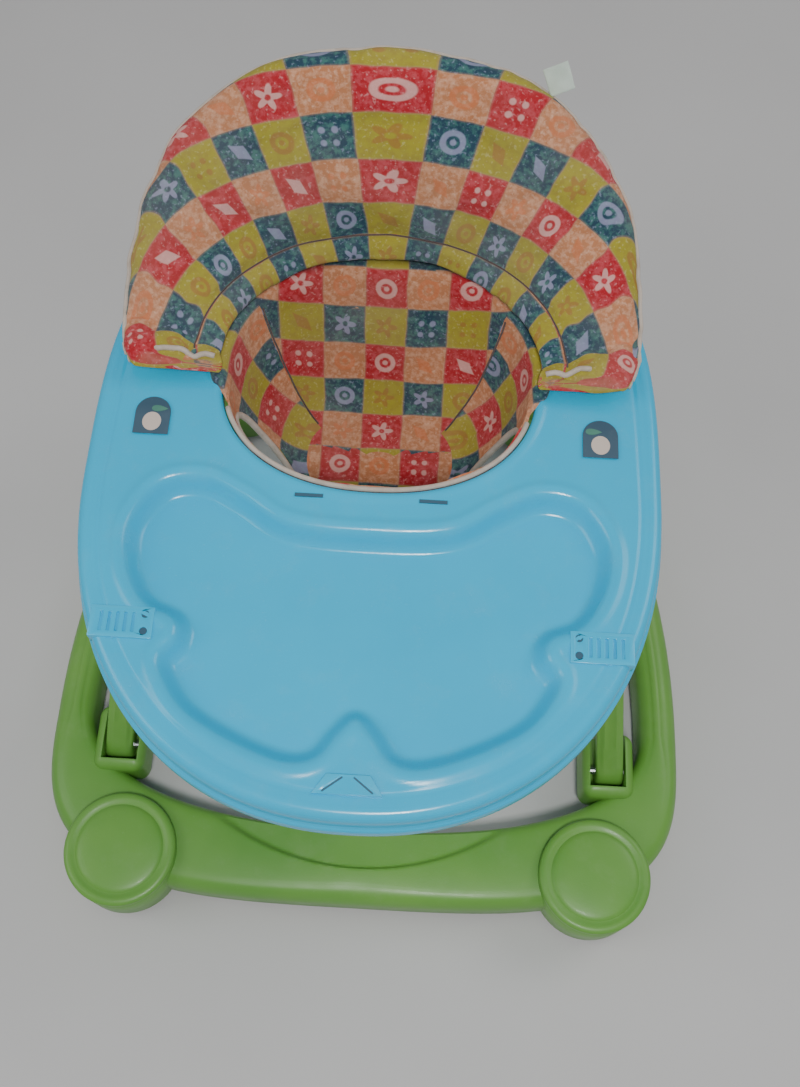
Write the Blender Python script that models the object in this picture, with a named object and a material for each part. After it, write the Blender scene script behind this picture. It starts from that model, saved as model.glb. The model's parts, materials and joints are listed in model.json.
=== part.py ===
"""Baby walker: a ring base on wheels, a scissor of moulded legs, and a tray with a sling seat.

Metres, +Z up. The front of the walker faces -Y. Names say left for the -X side and right for the
+X side, as they are seen by someone who stands in front of the walker.
The origin is on the floor, under the middle of the walker's outline.
"""
import math

import bmesh
import bpy
from mathutils import Matrix, Vector

GAP = 0.0004                  # clearance between neighbouring solids
BORE_ROOM = 0.0003            # a bore is this much larger in radius than its pin

# base ring
BASE_HALF_WIDTH = 0.337
BASE_CENTRE_Y = -0.150
BASE_OUT_FRONT = 0.193
BASE_OUT_REAR = 0.511
BASE_IN_HALF_WIDTH = 0.297
BASE_IN_FRONT = 0.118
BASE_IN_REAR = 0.469
BASE_BOTTOM = 0.012
BASE_TOP = 0.062
BASE_WALL = 0.003
CREST_RADIUS = 0.260
CREST_Y = -0.046
CREST_FLOOR = 0.056
BRACKET_NEAR = 0.2325         # distances from the middle plane
BRACKET_FAR = 0.287
BRACKET_FRONT = -0.222
BRACKET_REAR = -0.150

# wheel pods on the base
FRONT_POD = Vector((0.243, -0.304))
FRONT_POD_RADIUS = 0.057
REAR_POD = Vector((0.176, 0.256))
REAR_POD_RADIUS = 0.044
POD_TOP = 0.066
POD_ROOF = POD_TOP - 0.0045   # underside of the pod's roof
CAP_RISE = 0.011
WHEEL_RADIUS = 0.0225
WHEEL_WIDTH = 0.016
CASTER_TRAIL = 0.018
STEM_RADIUS = 0.004
AXLE_RADIUS = 0.0025
FORK_CROWN_TOP = 0.0535
FORK_CROWN_BOTTOM = 0.0475

# scissor legs
PIVOT_Y = -0.191
FOOT_Z = 0.052
LEG_RISE = 0.270
LEG_RUN = 0.2266
TRAY_PIVOT_Z = FOOT_Z + LEG_RISE
MID_Y = PIVOT_Y + LEG_RUN / 2
MID_Z = FOOT_Z + LEG_RISE / 2
SLIDE_Y = PIVOT_Y + LEG_RUN
SLIDE_MIN_Y = -0.036
SLIDE_MAX_Y = 0.161
OUTER_FOOT_X = 0.262
OUTER_TOP_X = 0.222
OUTER_FOOT_HALF = 0.015
OUTER_TOP_HALF = 0.012
INNER_FOOT_X = 0.188
INNER_TOP_X = 0.176
INNER_HALF = 0.008
LEG_FOOT_DEPTH = 0.015
LEG_TOP_DEPTH = 0.0125
PIN_RADIUS = 0.004
SLOT_HALF = 0.0045
OUTER_MID_X = 0.242
INNER_MID_X = 0.182
SPACER_X = 0.2088
SPACER_WIDTH = 0.033
LEAN_ROOM = 0.007             # the outer legs lean inwards as they rise out of their pockets

# tray
TRAY_HALF_WIDTH = 0.262
TRAY_CENTRE_Y = -0.019
TRAY_FRONT = 0.304
TRAY_REAR = 0.310
TRAY_TOP = 0.370
TRAY_DECK = 0.004
SKIRT_BOTTOM = 0.328
SKIRT_STEP = 0.345
SKIRT_WALL = 0.003
UNDER_BOTTOM = 0.342
UNDER_TOP = 0.3455
RECESS_FLOOR = 0.352
BASIN_WALL = 0.003
INSERT_BOTTOM = 0.3554        # underside of the pieces let into the deck
INSERT_PROUD = 0.0006
SOCKET_NEAR = 0.175           # distances from the middle plane
SOCKET_FAR = 0.229
SOCKET_FRONT = -0.178
SOCKET_REAR = -0.150
CLIP_NEAR = 0.0425
CLIP_FAR = 0.0675
CLIP_FRONT = -0.0381
CLIP_REAR = -0.0349

# seat
SEAT_Y = 0.084                # middle of the seat opening
SEAT_HALF_WIDTH = 0.145
SEAT_FRONT = 0.113
SEAT_REAR = 0.125
SLING_WALL = 0.004
SLING_TOP = 0.366
SLING_DEPTH = 0.146
SLING_SAG = 0.006             # the middle of the bottom hangs lower than its edge
SLING_EDGE = 0.003            # gap between the sling and the collar
BACK_REACH = math.radians(108)          # how far the padded back wraps, each way from the rear
PAD_THICK = 0.011
PAD_ROLL = 0.018
LABEL_TURN = math.radians(31)

COLOURS = {
    "green": (0.13, 0.36, 0.07, 0.42, 0.0),
    "blue": (0.03, 0.48, 0.72, 0.28, 0.0),
    "steel": (0.55, 0.56, 0.58, 0.35, 1.0),
    "grey": (0.12, 0.12, 0.13, 0.5, 0.0),
    "rubber": (0.03, 0.03, 0.03, 0.8, 0.0),
    "fabric": (0.45, 0.16, 0.12, 0.9, 0.0),
    "sticker": (0.05, 0.12, 0.2, 0.4, 0.0),
    "label": (0.75, 0.82, 0.74, 0.8, 0.0),
}


def clear_scene():
    for obj in list(bpy.data.objects):
        bpy.data.objects.remove(obj, do_unlink=True)


def material(kind):
    mat = bpy.data.materials.get(kind)
    if mat is None:
        red, green, blue, rough, metal = COLOURS[kind]
        mat = bpy.data.materials.new(kind)
        mat.use_nodes = True
        shader = mat.node_tree.nodes["Principled BSDF"]
        shader.inputs["Base Color"].default_value = (red, green, blue, 1.0)
        shader.inputs["Roughness"].default_value = rough
        shader.inputs["Metallic"].default_value = metal
    return mat


def add_object(name, bm, kind=None, smooth=True):
    """Closes the bmesh into a named object with outward faces."""
    bmesh.ops.recalc_face_normals(bm, faces=bm.faces)
    mesh = bpy.data.meshes.new(name)
    bm.to_mesh(mesh)
    bm.free()
    obj = bpy.data.objects.new(name, mesh)
    bpy.context.scene.collection.objects.link(obj)
    if kind:
        mesh.materials.append(material(kind))
    if smooth:
        mesh.shade_smooth()
        mesh.set_sharp_from_angle(angle=math.radians(35))
    return obj


def loft(name, rings, kind=None, cap=True, wrap=False, smooth=True):
    """Bridges rings of equal length; cap closes the two ends, wrap joins them instead."""
    bm = bmesh.new()
    rows = [[bm.verts.new(point) for point in ring] for ring in rings]
    pairs = list(zip(rows, rows[1:]))
    if wrap:
        pairs.append((rows[-1], rows[0]))
    for low, high in pairs:
        count = len(low)
        for i in range(count):
            j = (i + 1) % count
            bm.faces.new((low[i], low[j], high[j], high[i]))
    if cap and not wrap:
        bm.faces.new(rows[0])
        bm.faces.new(rows[-1])
    return add_object(name, bm, kind, smooth)


def prism(name, outline, low, high, kind=None, smooth=True):
    """A vertical prism over a closed outline of (x, y) points."""
    rings = [[(x, y, z) for x, y in outline] for z in (low, high)]
    return loft(name, rings, kind, smooth=smooth)


def box(name, low, high, kind=None):
    outline = [(low[0], low[1]), (high[0], low[1]), (high[0], high[1]), (low[0], high[1])]
    return prism(name, outline, low[2], high[2], kind, smooth=False)


def circle(centre, radius, count):
    turn = 2 * math.pi / count
    return [(centre[0] + radius * math.cos(i * turn), centre[1] + radius * math.sin(i * turn))
            for i in range(count)]


def turned(name, centre, profile, kind=None, count=32, axis="Z"):
    """A solid turned about a line through centre; profile is (radius, height) pairs."""
    spin = {"Z": Matrix.Identity(3), "X": Matrix.Rotation(math.pi / 2, 3, "Y")}[axis]
    rings = []
    for radius, height in profile:
        ring = [spin @ Vector((x, y, height)) + Vector(centre) for x, y in circle((0, 0), radius, count)]
        rings.append(ring)
    return loft(name, rings, kind)


def rod(name, centre, radius, length, kind=None, count=12, axis="X"):
    half = length / 2
    return turned(name, centre, [(radius, -half), (radius, half)], kind, count, axis)


def hide(obj):
    obj.hide_render = True
    obj.display_type = "WIRE"
    return obj


def combine(obj, others, operation):
    for other in others:
        modifier = obj.modifiers.new(operation.lower(), "BOOLEAN")
        modifier.operation = operation
        modifier.solver = "EXACT"
        modifier.object = hide(other)


def cut(obj, *others):
    combine(obj, others, "DIFFERENCE")


def fuse(obj, *others):
    combine(obj, others, "UNION")


def egg(half_width, front, rear, centre_y, power_front, power_rear, count, shrink=0.0):
    """A closed outline made of two superellipse halves, moved inwards by shrink."""
    points = []
    for i in range(count):
        angle = 2 * math.pi * (i + 0.5) / count
        x, y = math.cos(angle), math.sin(angle)
        depth = rear if y > 0 else front
        power = power_rear if y > 0 else power_front
        reach_x = math.copysign(abs(x) ** (2 / power), x) * (half_width - shrink)
        reach_y = math.copysign(abs(y) ** (2 / power), y) * (depth - shrink)
        points.append((reach_x, centre_y + reach_y))
    return points


def smooth_closed(points, steps):
    """A closed Catmull-Rom curve through the points."""
    count = len(points)
    result = []
    for i in range(count):
        a, b, c, d = (Vector(points[(i + k) % count]) for k in (-1, 0, 1, 2))
        for s in range(steps):
            t = s / steps
            point = 0.5 * (2 * b + (c - a) * t + (2 * a - 5 * b + 4 * c - d) * t ** 2
                           + (3 * b - a - 3 * c + d) * t ** 3)
            result.append((point.x, point.y))
    return result


def sides():
    return (("left", -1), ("right", 1))


# base ---------------------------------------------------------------------

def base_outline(count, shrink=0.0):
    return egg(BASE_HALF_WIDTH, BASE_OUT_FRONT, BASE_OUT_REAR, BASE_CENTRE_Y, 3.5, 2.1, count, shrink)


def base_inner_outline(count):
    return egg(BASE_IN_HALF_WIDTH, BASE_IN_FRONT, BASE_IN_REAR, BASE_CENTRE_Y, 2.3, 2.1, count)


def base_ring():
    """A moulded channel, open underneath, with pods for the wheels and pockets for the legs."""
    round_edge = 0.014
    soft = 0.3 * round_edge
    rings = []
    for outside, inside in zip(base_outline(56), base_inner_outline(56)):
        start, end = Vector(outside), Vector(inside)
        width = (end - start).length
        step = (end - start) / width
        wall, roof = BASE_WALL, BASE_TOP - BASE_WALL
        section = [(0, BASE_BOTTOM), (0, BASE_TOP - round_edge), (soft, BASE_TOP - soft),
                   (round_edge, BASE_TOP),
                   (width - round_edge, BASE_TOP), (width - soft, BASE_TOP - soft),
                   (width, BASE_TOP - round_edge), (width, BASE_BOTTOM), (width - wall, BASE_BOTTOM),
                   (width - wall, BASE_TOP - round_edge), (width - round_edge, roof),
                   (round_edge, roof), (wall, BASE_TOP - round_edge), (wall, BASE_BOTTOM)]
        rings.append([(*(start + step * along), height) for along, height in section])
    base = loft("base_ring", rings, "green", wrap=True)
    for name, side in sides():
        front = (side * FRONT_POD.x, FRONT_POD.y)
        rear = (side * REAR_POD.x, REAR_POD.y)
        fuse(base, prism(f"front_pod_{name}", circle(front, FRONT_POD_RADIUS, 32), BASE_BOTTOM, POD_TOP),
             prism(f"rear_pod_{name}", circle(rear, REAR_POD_RADIUS, 28), BASE_BOTTOM, POD_TOP))
        low, high = sorted((side * BRACKET_NEAR, side * BRACKET_FAR))
        fuse(base, box(f"bracket_{name}", (low, BRACKET_FRONT, BASE_BOTTOM),
                       (high, BRACKET_REAR, BASE_TOP + 0.008)))
        cut(base, prism(f"front_cavity_{name}", circle(front, FRONT_POD_RADIUS - BASE_WALL, 32), 0, POD_ROOF),
            prism(f"rear_cavity_{name}", circle(rear, REAR_POD_RADIUS - BASE_WALL, 28), 0, POD_ROOF))
        fuse(base, prism(f"stem_boss_{name}", circle(front, 0.010, 16), FORK_CROWN_TOP + 0.002,
                         POD_TOP - 0.002))
        cut(base, prism(f"stem_bore_{name}", circle(front, STEM_RADIUS + BORE_ROOM, 16), 0, POD_TOP - 0.0035))
        for face in (-1, 1):
            rib_x = rear[0] + face * (WHEEL_WIDTH / 2 + 0.0035)
            fuse(base, box(f"wheel_rib_{name}_{face}", (rib_x - 0.0025, rear[1] - 0.012, 0.016),
                           (rib_x + 0.0025, rear[1] + 0.012, POD_TOP - 0.002)))
        low, high = sorted((side * (OUTER_FOOT_X + OUTER_FOOT_HALF + GAP),
                            side * (OUTER_FOOT_X - OUTER_FOOT_HALF - LEAN_ROOM)))
        cut(base, box(f"pocket_{name}", (low, -0.2105, FOOT_Z - LEG_FOOT_DEPTH - 0.001), (high, -0.100, 0.1)),
            rod(f"foot_hole_{name}", (side * OUTER_FOOT_X, PIVOT_Y, FOOT_Z), PIN_RADIUS + BORE_ROOM, 0.050),
            rod(f"axle_hole_{name}", (rear[0], rear[1], WHEEL_RADIUS), AXLE_RADIUS + BORE_ROOM, 0.040))
    fuse(base, box("crest_pad", (-0.112, -0.314, CREST_FLOOR - BASE_WALL), (0.112, -0.2695, BASE_TOP - 0.001)))
    cut(base, prism("crest_cut", circle((0, CREST_Y), CREST_RADIUS, 48), CREST_FLOOR, 0.1))


def wheel_caps():
    """Low domes with a raised rim, one on each pod."""
    for place, centre, radius in (("front", FRONT_POD, FRONT_POD_RADIUS), ("rear", REAR_POD, REAR_POD_RADIUS)):
        for name, side in sides():
            low = POD_TOP + GAP
            rim = low + 0.6 * CAP_RISE
            profile = [(0.8 * radius, low), (radius, low), (radius, low + 0.003), (radius - 0.002, rim),
                       (radius - 0.007, rim + 0.0015), (radius - 0.011, rim), (0.6 * radius, rim + 0.003),
                       (0.25 * radius, low + CAP_RISE)]
            turned(f"{place}_wheel_cap_{name}", (side * centre.x, centre.y, 0), profile, "green", 32)


def front_casters():
    for name, side in sides():
        x, y = side * FRONT_POD.x, FRONT_POD.y
        axle_y = y + CASTER_TRAIL
        rod_top = POD_TOP - 0.0045
        turned(f"caster_stem_{name}", (x, y, 0), [(STEM_RADIUS, FORK_CROWN_TOP + GAP), (STEM_RADIUS, rod_top)],
               "steel", 16)
        crown = box(f"caster_fork_{name}", (x - 0.0145, y - 0.012, FORK_CROWN_BOTTOM),
                    (x + 0.0145, axle_y + 0.010, FORK_CROWN_TOP), "grey")
        for face in (-1, 1):
            cheek_x = x + face * 0.0120
            fuse(crown, box(f"cheek_{name}_{face}", (cheek_x - 0.0025, axle_y - 0.009, 0.0145),
                            (cheek_x + 0.0025, axle_y + 0.009, FORK_CROWN_BOTTOM + 0.001)))
        cut(crown, rod(f"fork_hole_{name}", (x, axle_y, WHEEL_RADIUS), AXLE_RADIUS + BORE_ROOM, 0.04))
        roller(f"caster_wheel_{name}", (x, axle_y, WHEEL_RADIUS))
        rod(f"caster_axle_{name}", (x, axle_y, WHEEL_RADIUS), AXLE_RADIUS, 0.0285, "steel", 12)


def roller(name, centre):
    """A wheel with rounded shoulders and an axle bore along X."""
    half = WHEEL_WIDTH / 2
    bore = AXLE_RADIUS + BORE_ROOM
    profile = [(bore, -half), (WHEEL_RADIUS - 0.007, -half), (WHEEL_RADIUS - 0.006, -half + 0.001),
               (WHEEL_RADIUS - 0.002, -half + 0.001), (WHEEL_RADIUS, -half + 0.003),
               (WHEEL_RADIUS, half - 0.003),
               (WHEEL_RADIUS - 0.002, half - 0.001), (WHEEL_RADIUS - 0.006, half - 0.001),
               (WHEEL_RADIUS - 0.007, half), (bore, half)]
    spin = Matrix.Rotation(math.pi / 2, 3, "Y")
    rings = []
    for radius, along in profile:
        rings.append([spin @ Vector((px, py, along)) + Vector(centre) for px, py in circle((0, 0), radius, 24)])
    loft(name, rings, "rubber", wrap=True)


def rear_wheels():
    for name, side in sides():
        centre = (side * REAR_POD.x, REAR_POD.y, WHEEL_RADIUS)
        roller(f"rear_wheel_{name}", centre)
        rod(f"rear_axle_{name}", centre, AXLE_RADIUS, 0.0285, "steel", 12)


def grip_pads():
    """Rubber blocks held between the channel's walls, just off the floor."""
    places = {"front_left": (-0.110, -0.306, 0.040, 0.026), "front_right": (0.110, -0.306, 0.040, 0.026),
              "side_left": (-0.3155, -0.080, 0.012, 0.030), "side_right": (0.3155, -0.080, 0.012, 0.030),
              "rear": (0.0, 0.340, 0.040, 0.012)}
    for name, (x, y, half_x, half_y) in places.items():
        box(f"grip_pad_{name}", (x - half_x, y - half_y, 0.004), (x + half_x, y + half_y, 0.022), "rubber")


def slide_guides():
    """Slotted plates on the base that guide the inner legs' sliding feet."""
    for name, side in sides():
        low, high = sorted((side * 0.2000, side * 0.2055))
        guide = box(f"slide_guide_{name}", (low, SLIDE_MIN_Y - 0.016, 0.0385),
                    (high, SLIDE_MAX_Y + 0.014, 0.0655), "green")
        strut_low, strut_high = sorted((side * 0.2030, side * 0.2885))
        fuse(guide, box(f"guide_strut_{name}", (strut_low, SLIDE_MIN_Y - 0.014, 0.020),
                        (strut_high, SLIDE_MIN_Y - 0.002, 0.0415)))
        cut(guide, slot(f"guide_slot_{name}", side * 0.2030, FOOT_Z))


def slot(name, x, z):
    """A long cutter across X, for a pin that slides along Y."""
    return box(name, (x - 0.006, SLIDE_MIN_Y - SLOT_HALF, z - SLOT_HALF),
               (x + 0.006, SLIDE_MAX_Y + SLOT_HALF, z + SLOT_HALF))


# legs ---------------------------------------------------------------------

def leg(name, foot, top, foot_half, top_half):
    """A bar with round ends that leans inwards and thins as it rises from foot to top."""
    foot, top = Vector(foot), Vector(top)
    along = Vector((0, top.y - foot.y, top.z - foot.z))
    length = along.length
    along /= length
    across = Vector((0, -along.z, along.y))
    half_turn = [math.pi * i / 6 for i in range(7)]
    outline = [(-LEG_FOOT_DEPTH * math.sin(angle), LEG_FOOT_DEPTH * math.cos(angle)) for angle in half_turn]
    outline += [(length + LEG_TOP_DEPTH * math.sin(angle), -LEG_TOP_DEPTH * math.cos(angle))
                for angle in half_turn]
    faces = []
    for face in (-1, 1):
        ring = []
        for reach, offset in outline:
            share = min(max(reach / length, 0), 1)
            x = foot.x + (top.x - foot.x) * share + face * (foot_half + (top_half - foot_half) * share)
            place = Vector((x, foot.y, foot.z)) + along * reach + across * offset
            ring.append(place)
        faces.append(ring)
    return loft(name, faces, "green")


def scissor():
    for name, side in sides():
        outer = leg(f"outer_leg_{name}", (side * OUTER_FOOT_X, PIVOT_Y, FOOT_Z),
                    (side * OUTER_TOP_X, SLIDE_Y, TRAY_PIVOT_Z), OUTER_FOOT_HALF, OUTER_TOP_HALF)
        inner = leg(f"inner_leg_{name}", (side * INNER_FOOT_X, SLIDE_Y, FOOT_Z),
                    (side * INNER_TOP_X, PIVOT_Y, TRAY_PIVOT_Z), INNER_HALF, INNER_HALF)
        hole = PIN_RADIUS + BORE_ROOM
        cut(outer, rod(f"foot_bore_{name}", (side * OUTER_FOOT_X, PIVOT_Y, FOOT_Z), hole, 0.06),
            rod(f"outer_mid_bore_{name}", (side * OUTER_MID_X, MID_Y, MID_Z), hole, 0.06),
            rod(f"outer_top_bore_{name}", (side * OUTER_TOP_X, SLIDE_Y, TRAY_PIVOT_Z), hole, 0.06))
        cut(inner, rod(f"inner_foot_bore_{name}", (side * INNER_FOOT_X, SLIDE_Y, FOOT_Z), hole, 0.04),
            rod(f"inner_mid_bore_{name}", (side * INNER_MID_X, MID_Y, MID_Z), hole, 0.04),
            rod(f"inner_top_bore_{name}", (side * INNER_TOP_X, PIVOT_Y, TRAY_PIVOT_Z), hole, 0.04))
        pin(f"foot_pin_{name}", side, 0.24025, 0.28375, PIVOT_Y, FOOT_Z)
        pin(f"crossing_pin_{name}", side, 0.1735, 0.2545, MID_Y, MID_Z)
        spacer(f"crossing_spacer_{name}", side * SPACER_X, MID_Y, MID_Z, SPACER_WIDTH)
        pin(f"tray_slide_pin_{name}", side, 0.1975, 0.2340, SLIDE_Y, TRAY_PIVOT_Z)
        pin(f"base_slide_pin_{name}", side, 0.1805, 0.2090, SLIDE_Y, FOOT_Z)
        pin(f"tray_pivot_pin_{name}", side, 0.1585, 0.1935, PIVOT_Y, TRAY_PIVOT_Z)


def spacer(name, x, y, z, width):
    """A plain bush between the two crossing legs."""
    half = width / 2
    bore, outside = PIN_RADIUS + BORE_ROOM, 0.008
    spin = Matrix.Rotation(math.pi / 2, 3, "Y")
    middle = Vector((x, y, z))
    rings = []
    for radius, along in ((bore, -half), (outside, -half), (outside, half), (bore, half)):
        rings.append([middle + spin @ Vector((px, py, along)) for px, py in circle((0, 0), radius, 16)])
    loft(name, rings, "grey", wrap=True)


def pin(name, side, near, far, y, z):
    """A steel pin across X, between two distances from the middle plane."""
    rod(name, (side * (near + far) / 2, y, z), PIN_RADIUS, far - near, "steel")


# tray ---------------------------------------------------------------------

RECESS_HALF = ((0.0, -0.069), (0.070, -0.064), (0.114, -0.039), (0.151, -0.023), (0.188, -0.032),
               (0.210, -0.069), (0.207, -0.109), (0.188, -0.143), (0.160, -0.157), (0.156, -0.174),
               (0.167, -0.190), (0.163, -0.208), (0.140, -0.237), (0.096, -0.261), (0.055, -0.274),
               (0.030, -0.269), (0.014, -0.249), (0.0, -0.236))


def recess_outline(grow=0.0):
    """The cloud-shaped snack recess, clockwise from above, mirrored about X = 0 and moved outwards by grow."""
    half = list(RECESS_HALF)
    mirrored = [(-x, y) for x, y in reversed(half[1:-1])]
    outline = smooth_closed(half + mirrored, 2)
    if not grow:
        return outline
    count = len(outline)
    grown = []
    for i in range(count):
        before, after = Vector(outline[i - 1]), Vector(outline[(i + 1) % count])
        run = (after - before).normalized()
        grown.append((outline[i][0] - run.y * grow, outline[i][1] + run.x * grow))
    return grown


def tray_outline(count, shrink=0.0):
    return egg(TRAY_HALF_WIDTH, TRAY_FRONT, TRAY_REAR, TRAY_CENTRE_Y, 2.2, 3.2, count, shrink)


def seat_outline(count, grow=0.0):
    return egg(SEAT_HALF_WIDTH, SEAT_FRONT, SEAT_REAR, SEAT_Y, 2.2, 2.4, count, -grow)


def tray_top():
    """The tray shell: a stepped skirt, a deck with the snack recess, and a collar round the seat."""
    steps = [(0.0, SKIRT_BOTTOM), (0.0, SKIRT_STEP), (0.004, SKIRT_STEP + 0.002), (0.004, TRAY_TOP - 0.009),
             (0.006, TRAY_TOP - 0.004), (0.010, TRAY_TOP - 0.001), (0.015, TRAY_TOP)]
    rings = [[(x, y, z) for x, y in tray_outline(64, shrink)] for shrink, z in steps]
    tray = loft("tray_top", rings, "blue")
    inside = [(SKIRT_WALL, SKIRT_BOTTOM - 0.01), (SKIRT_WALL, SKIRT_STEP - 0.001), (0.007, SKIRT_STEP + 0.001),
              (0.007, TRAY_TOP - 0.012), (0.014, TRAY_TOP - TRAY_DECK)]
    cavity = loft("tray_cavity", [[(x, y, z) for x, y in tray_outline(64, shrink)] for shrink, z in inside])
    cut(tray, cavity)
    fuse(tray, prism("basin", recess_outline(BASIN_WALL), RECESS_FLOOR - BASIN_WALL, TRAY_TOP - 0.001),
         prism("collar", seat_outline(44, BASIN_WALL), 0.3475, TRAY_TOP - 0.001))
    cut(tray, prism("recess", recess_outline(), RECESS_FLOOR, 0.4),
        prism("seat_hole", seat_outline(44), 0.3, 0.4))
    for name, side in sides():
        low, high = sorted((side * (SOCKET_NEAR - 0.0005), side * (SOCKET_FAR + 0.0005)))
        cut(tray, box(f"socket_hole_{name}", (low, SOCKET_FRONT - 0.0005, 0.355),
                      (high, SOCKET_REAR + 0.0005, 0.4)))
        low, high = sorted((side * (CLIP_NEAR - 0.0005), side * (CLIP_FAR + 0.0005)))
        cut(tray, box(f"clip_hole_{name}", (low, CLIP_FRONT - 0.0004, 0.355), (high, CLIP_REAR + 0.0004, 0.4)))
    cut(tray, prism("latch_hole", latch_outline(0.0005), 0.355, 0.4))


def latch_outline(grow):
    return [(-0.031 - grow, -0.2985 - grow), (0.026 + grow, -0.2985 - grow), (0.016 + grow, -0.282 + grow),
            (-0.020 - grow, -0.282 + grow)]


def tray_fittings():
    under = prism("tray_underframe", tray_outline(64, 0.0085), UNDER_BOTTOM, UNDER_TOP, "blue")
    cut(under, prism("under_hole", seat_outline(44, BASIN_WALL + 0.002), 0.3, 0.4))
    for name, side in sides():
        low, high = sorted((side * SOCKET_NEAR, side * SOCKET_FAR))
        socket = box(f"toy_socket_{name}", (low, SOCKET_FRONT, INSERT_BOTTOM),
                     (high, SOCKET_REAR, TRAY_TOP + INSERT_PROUD), "blue")
        for i in range(4):
            rib_low, rib_high = sorted((side * (0.186 + 0.008 * i), side * (0.190 + 0.008 * i)))
            cut(socket, box(f"socket_rib_{name}_{i}", (rib_low, -0.171, TRAY_TOP - 0.004),
                            (rib_high, -0.157, 0.4)))
        low, high = sorted((side * CLIP_NEAR, side * CLIP_FAR))
        box(f"seat_clip_{name}", (low, CLIP_FRONT, INSERT_BOTTOM),
            (high, CLIP_REAR, TRAY_TOP + INSERT_PROUD), "blue")
        low, high = sorted((side * 0.2000, side * 0.2060))
        plate = box(f"slot_plate_{name}", (low, SLIDE_MIN_Y - 0.014, 0.310),
                    (high, SLIDE_MAX_Y + 0.014, UNDER_BOTTOM - GAP), "blue")
        cut(plate, slot(f"plate_slot_{name}", side * 0.2030, TRAY_PIVOT_Z))
        pivot_bracket(name, side)
        sticker(name, side)
    prism("latch_plate", latch_outline(0.0), INSERT_BOTTOM, TRAY_TOP + 0.0008, "blue", smooth=False)


def pivot_bracket(name, side):
    """A clevis under the tray that holds the top of an inner leg."""
    low, high = sorted((side * 0.1590, side * 0.1930))
    bracket = box(f"pivot_bracket_{name}", (low, PIVOT_Y - 0.014, TRAY_PIVOT_Z - 0.010),
                  (high, PIVOT_Y + 0.014, UNDER_BOTTOM - GAP), "blue")
    low, high = sorted((side * (INNER_TOP_X - INNER_HALF - 0.001), side * (INNER_TOP_X + INNER_HALF + 0.001)))
    cut(bracket, box(f"clevis_gap_{name}", (low, PIVOT_Y - 0.03, 0.3),
                     (high, PIVOT_Y + 0.03, TRAY_PIVOT_Z + 0.0145)),
        rod(f"clevis_bore_{name}", (side * INNER_TOP_X, PIVOT_Y, TRAY_PIVOT_Z), PIN_RADIUS + BORE_ROOM, 0.05))


def sticker(name, side):
    """A thin round-topped sticker on the deck."""
    x, y, half = side * 0.203, 0.034, 0.016
    outline = [(x + half * math.cos(a), y + 0.004 + half * math.sin(a))
               for a in (math.pi * i / 12 for i in range(13))]
    outline += [(x - half, y - 0.018), (x + half, y - 0.018)]
    prism(f"sticker_{name}", outline, TRAY_TOP + 0.0003, TRAY_TOP + 0.0009, "sticker")


def release_handle():
    """A sprung pull under the front of the tray, in a guide, with its spring behind it."""
    z = 0.3325
    handle = box("release_handle", (-0.045, -0.296, z - 0.0045), (0.045, -0.272, z + 0.0045), "green")
    fuse(handle, box("handle_tongue", (-0.013, -0.2735, z - 0.003), (0.013, -0.225, z + 0.003)))
    guide = box("handle_guide", (-0.024, -0.2600, z - 0.0085), (0.024, -0.190, UNDER_BOTTOM - GAP), "blue")
    cut(guide, box("guide_bore", (-0.0135, -0.3, z - 0.0035), (0.0135, -0.196, z + 0.0035)))
    spring = bpy.data.curves.new("handle_spring", "CURVE")
    spring.dimensions = "3D"
    spring.bevel_depth = 0.0005
    spring.bevel_resolution = 0
    spring.use_fill_caps = True
    line = spring.splines.new("POLY")
    turns, per_turn = 5, 8
    line.points.add(turns * per_turn)
    for i in range(turns * per_turn + 1):
        angle = 2 * math.pi * i / per_turn
        y = -0.2240 + 0.0270 * i / (turns * per_turn)
        line.points[i].co = (0.0024 * math.cos(angle), y, z + 0.0024 * math.sin(angle), 1)
    obj = bpy.data.objects.new("handle_spring", spring)
    spring.materials.append(material("steel"))
    bpy.context.scene.collection.objects.link(obj)


# seat ---------------------------------------------------------------------

def back_frame(turn):
    """The padded back at an angle from the rear (+Y): its foot, its rim, and its section's two axes."""
    x, y = math.sin(turn), math.cos(turn)
    full_x, full_y = math.copysign(abs(x) ** 0.8, x), max(0.0, y) ** 0.8
    foot = Vector((0.148 * x, SEAT_Y + 0.006 + (0.124 if y > 0 else 0.030) * y, TRAY_TOP + 0.0155))
    reach = 0.183 * full_y if y > 0 else 0.10 * y
    rim = Vector((0.225 * full_x, 0.112 + reach, 0.388 + 0.1555 * full_y ** 1.2))
    run = (rim - foot).normalized()
    out = Vector((x, y, 0))
    behind = (out - run * out.dot(run)).normalized()
    if behind.z > 0:
        behind = -behind
    return foot, rim, run, behind


def seat_back():
    """The padded back: a horseshoe with a fat roll along its rim, lying on the tray at its two ends."""
    stations, thick, roll = 31, PAD_THICK, PAD_ROLL
    rings = []
    for i in range(stations):
        turn = BACK_REACH * (2 * i / (stations - 1) - 1)
        foot, rim, run, behind = back_frame(turn)
        waist = foot.lerp(rim, 0.6)
        ring = [foot - behind * thick, waist - behind * thick, rim - run * roll - behind * roll,
                rim - behind * roll * 0.7 + run * roll * 0.3, rim + run * roll * 0.8,
                rim + behind * roll * 0.7 + run * roll * 0.3, rim - run * roll + behind * roll * 0.8,
                waist + behind * thick, foot + behind * thick]
        rings.append([Vector((p.x, p.y, max(p.z, TRAY_TOP + 0.0025))) for p in ring])
    loft("seat_back_pad", rings, "fabric")


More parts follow.
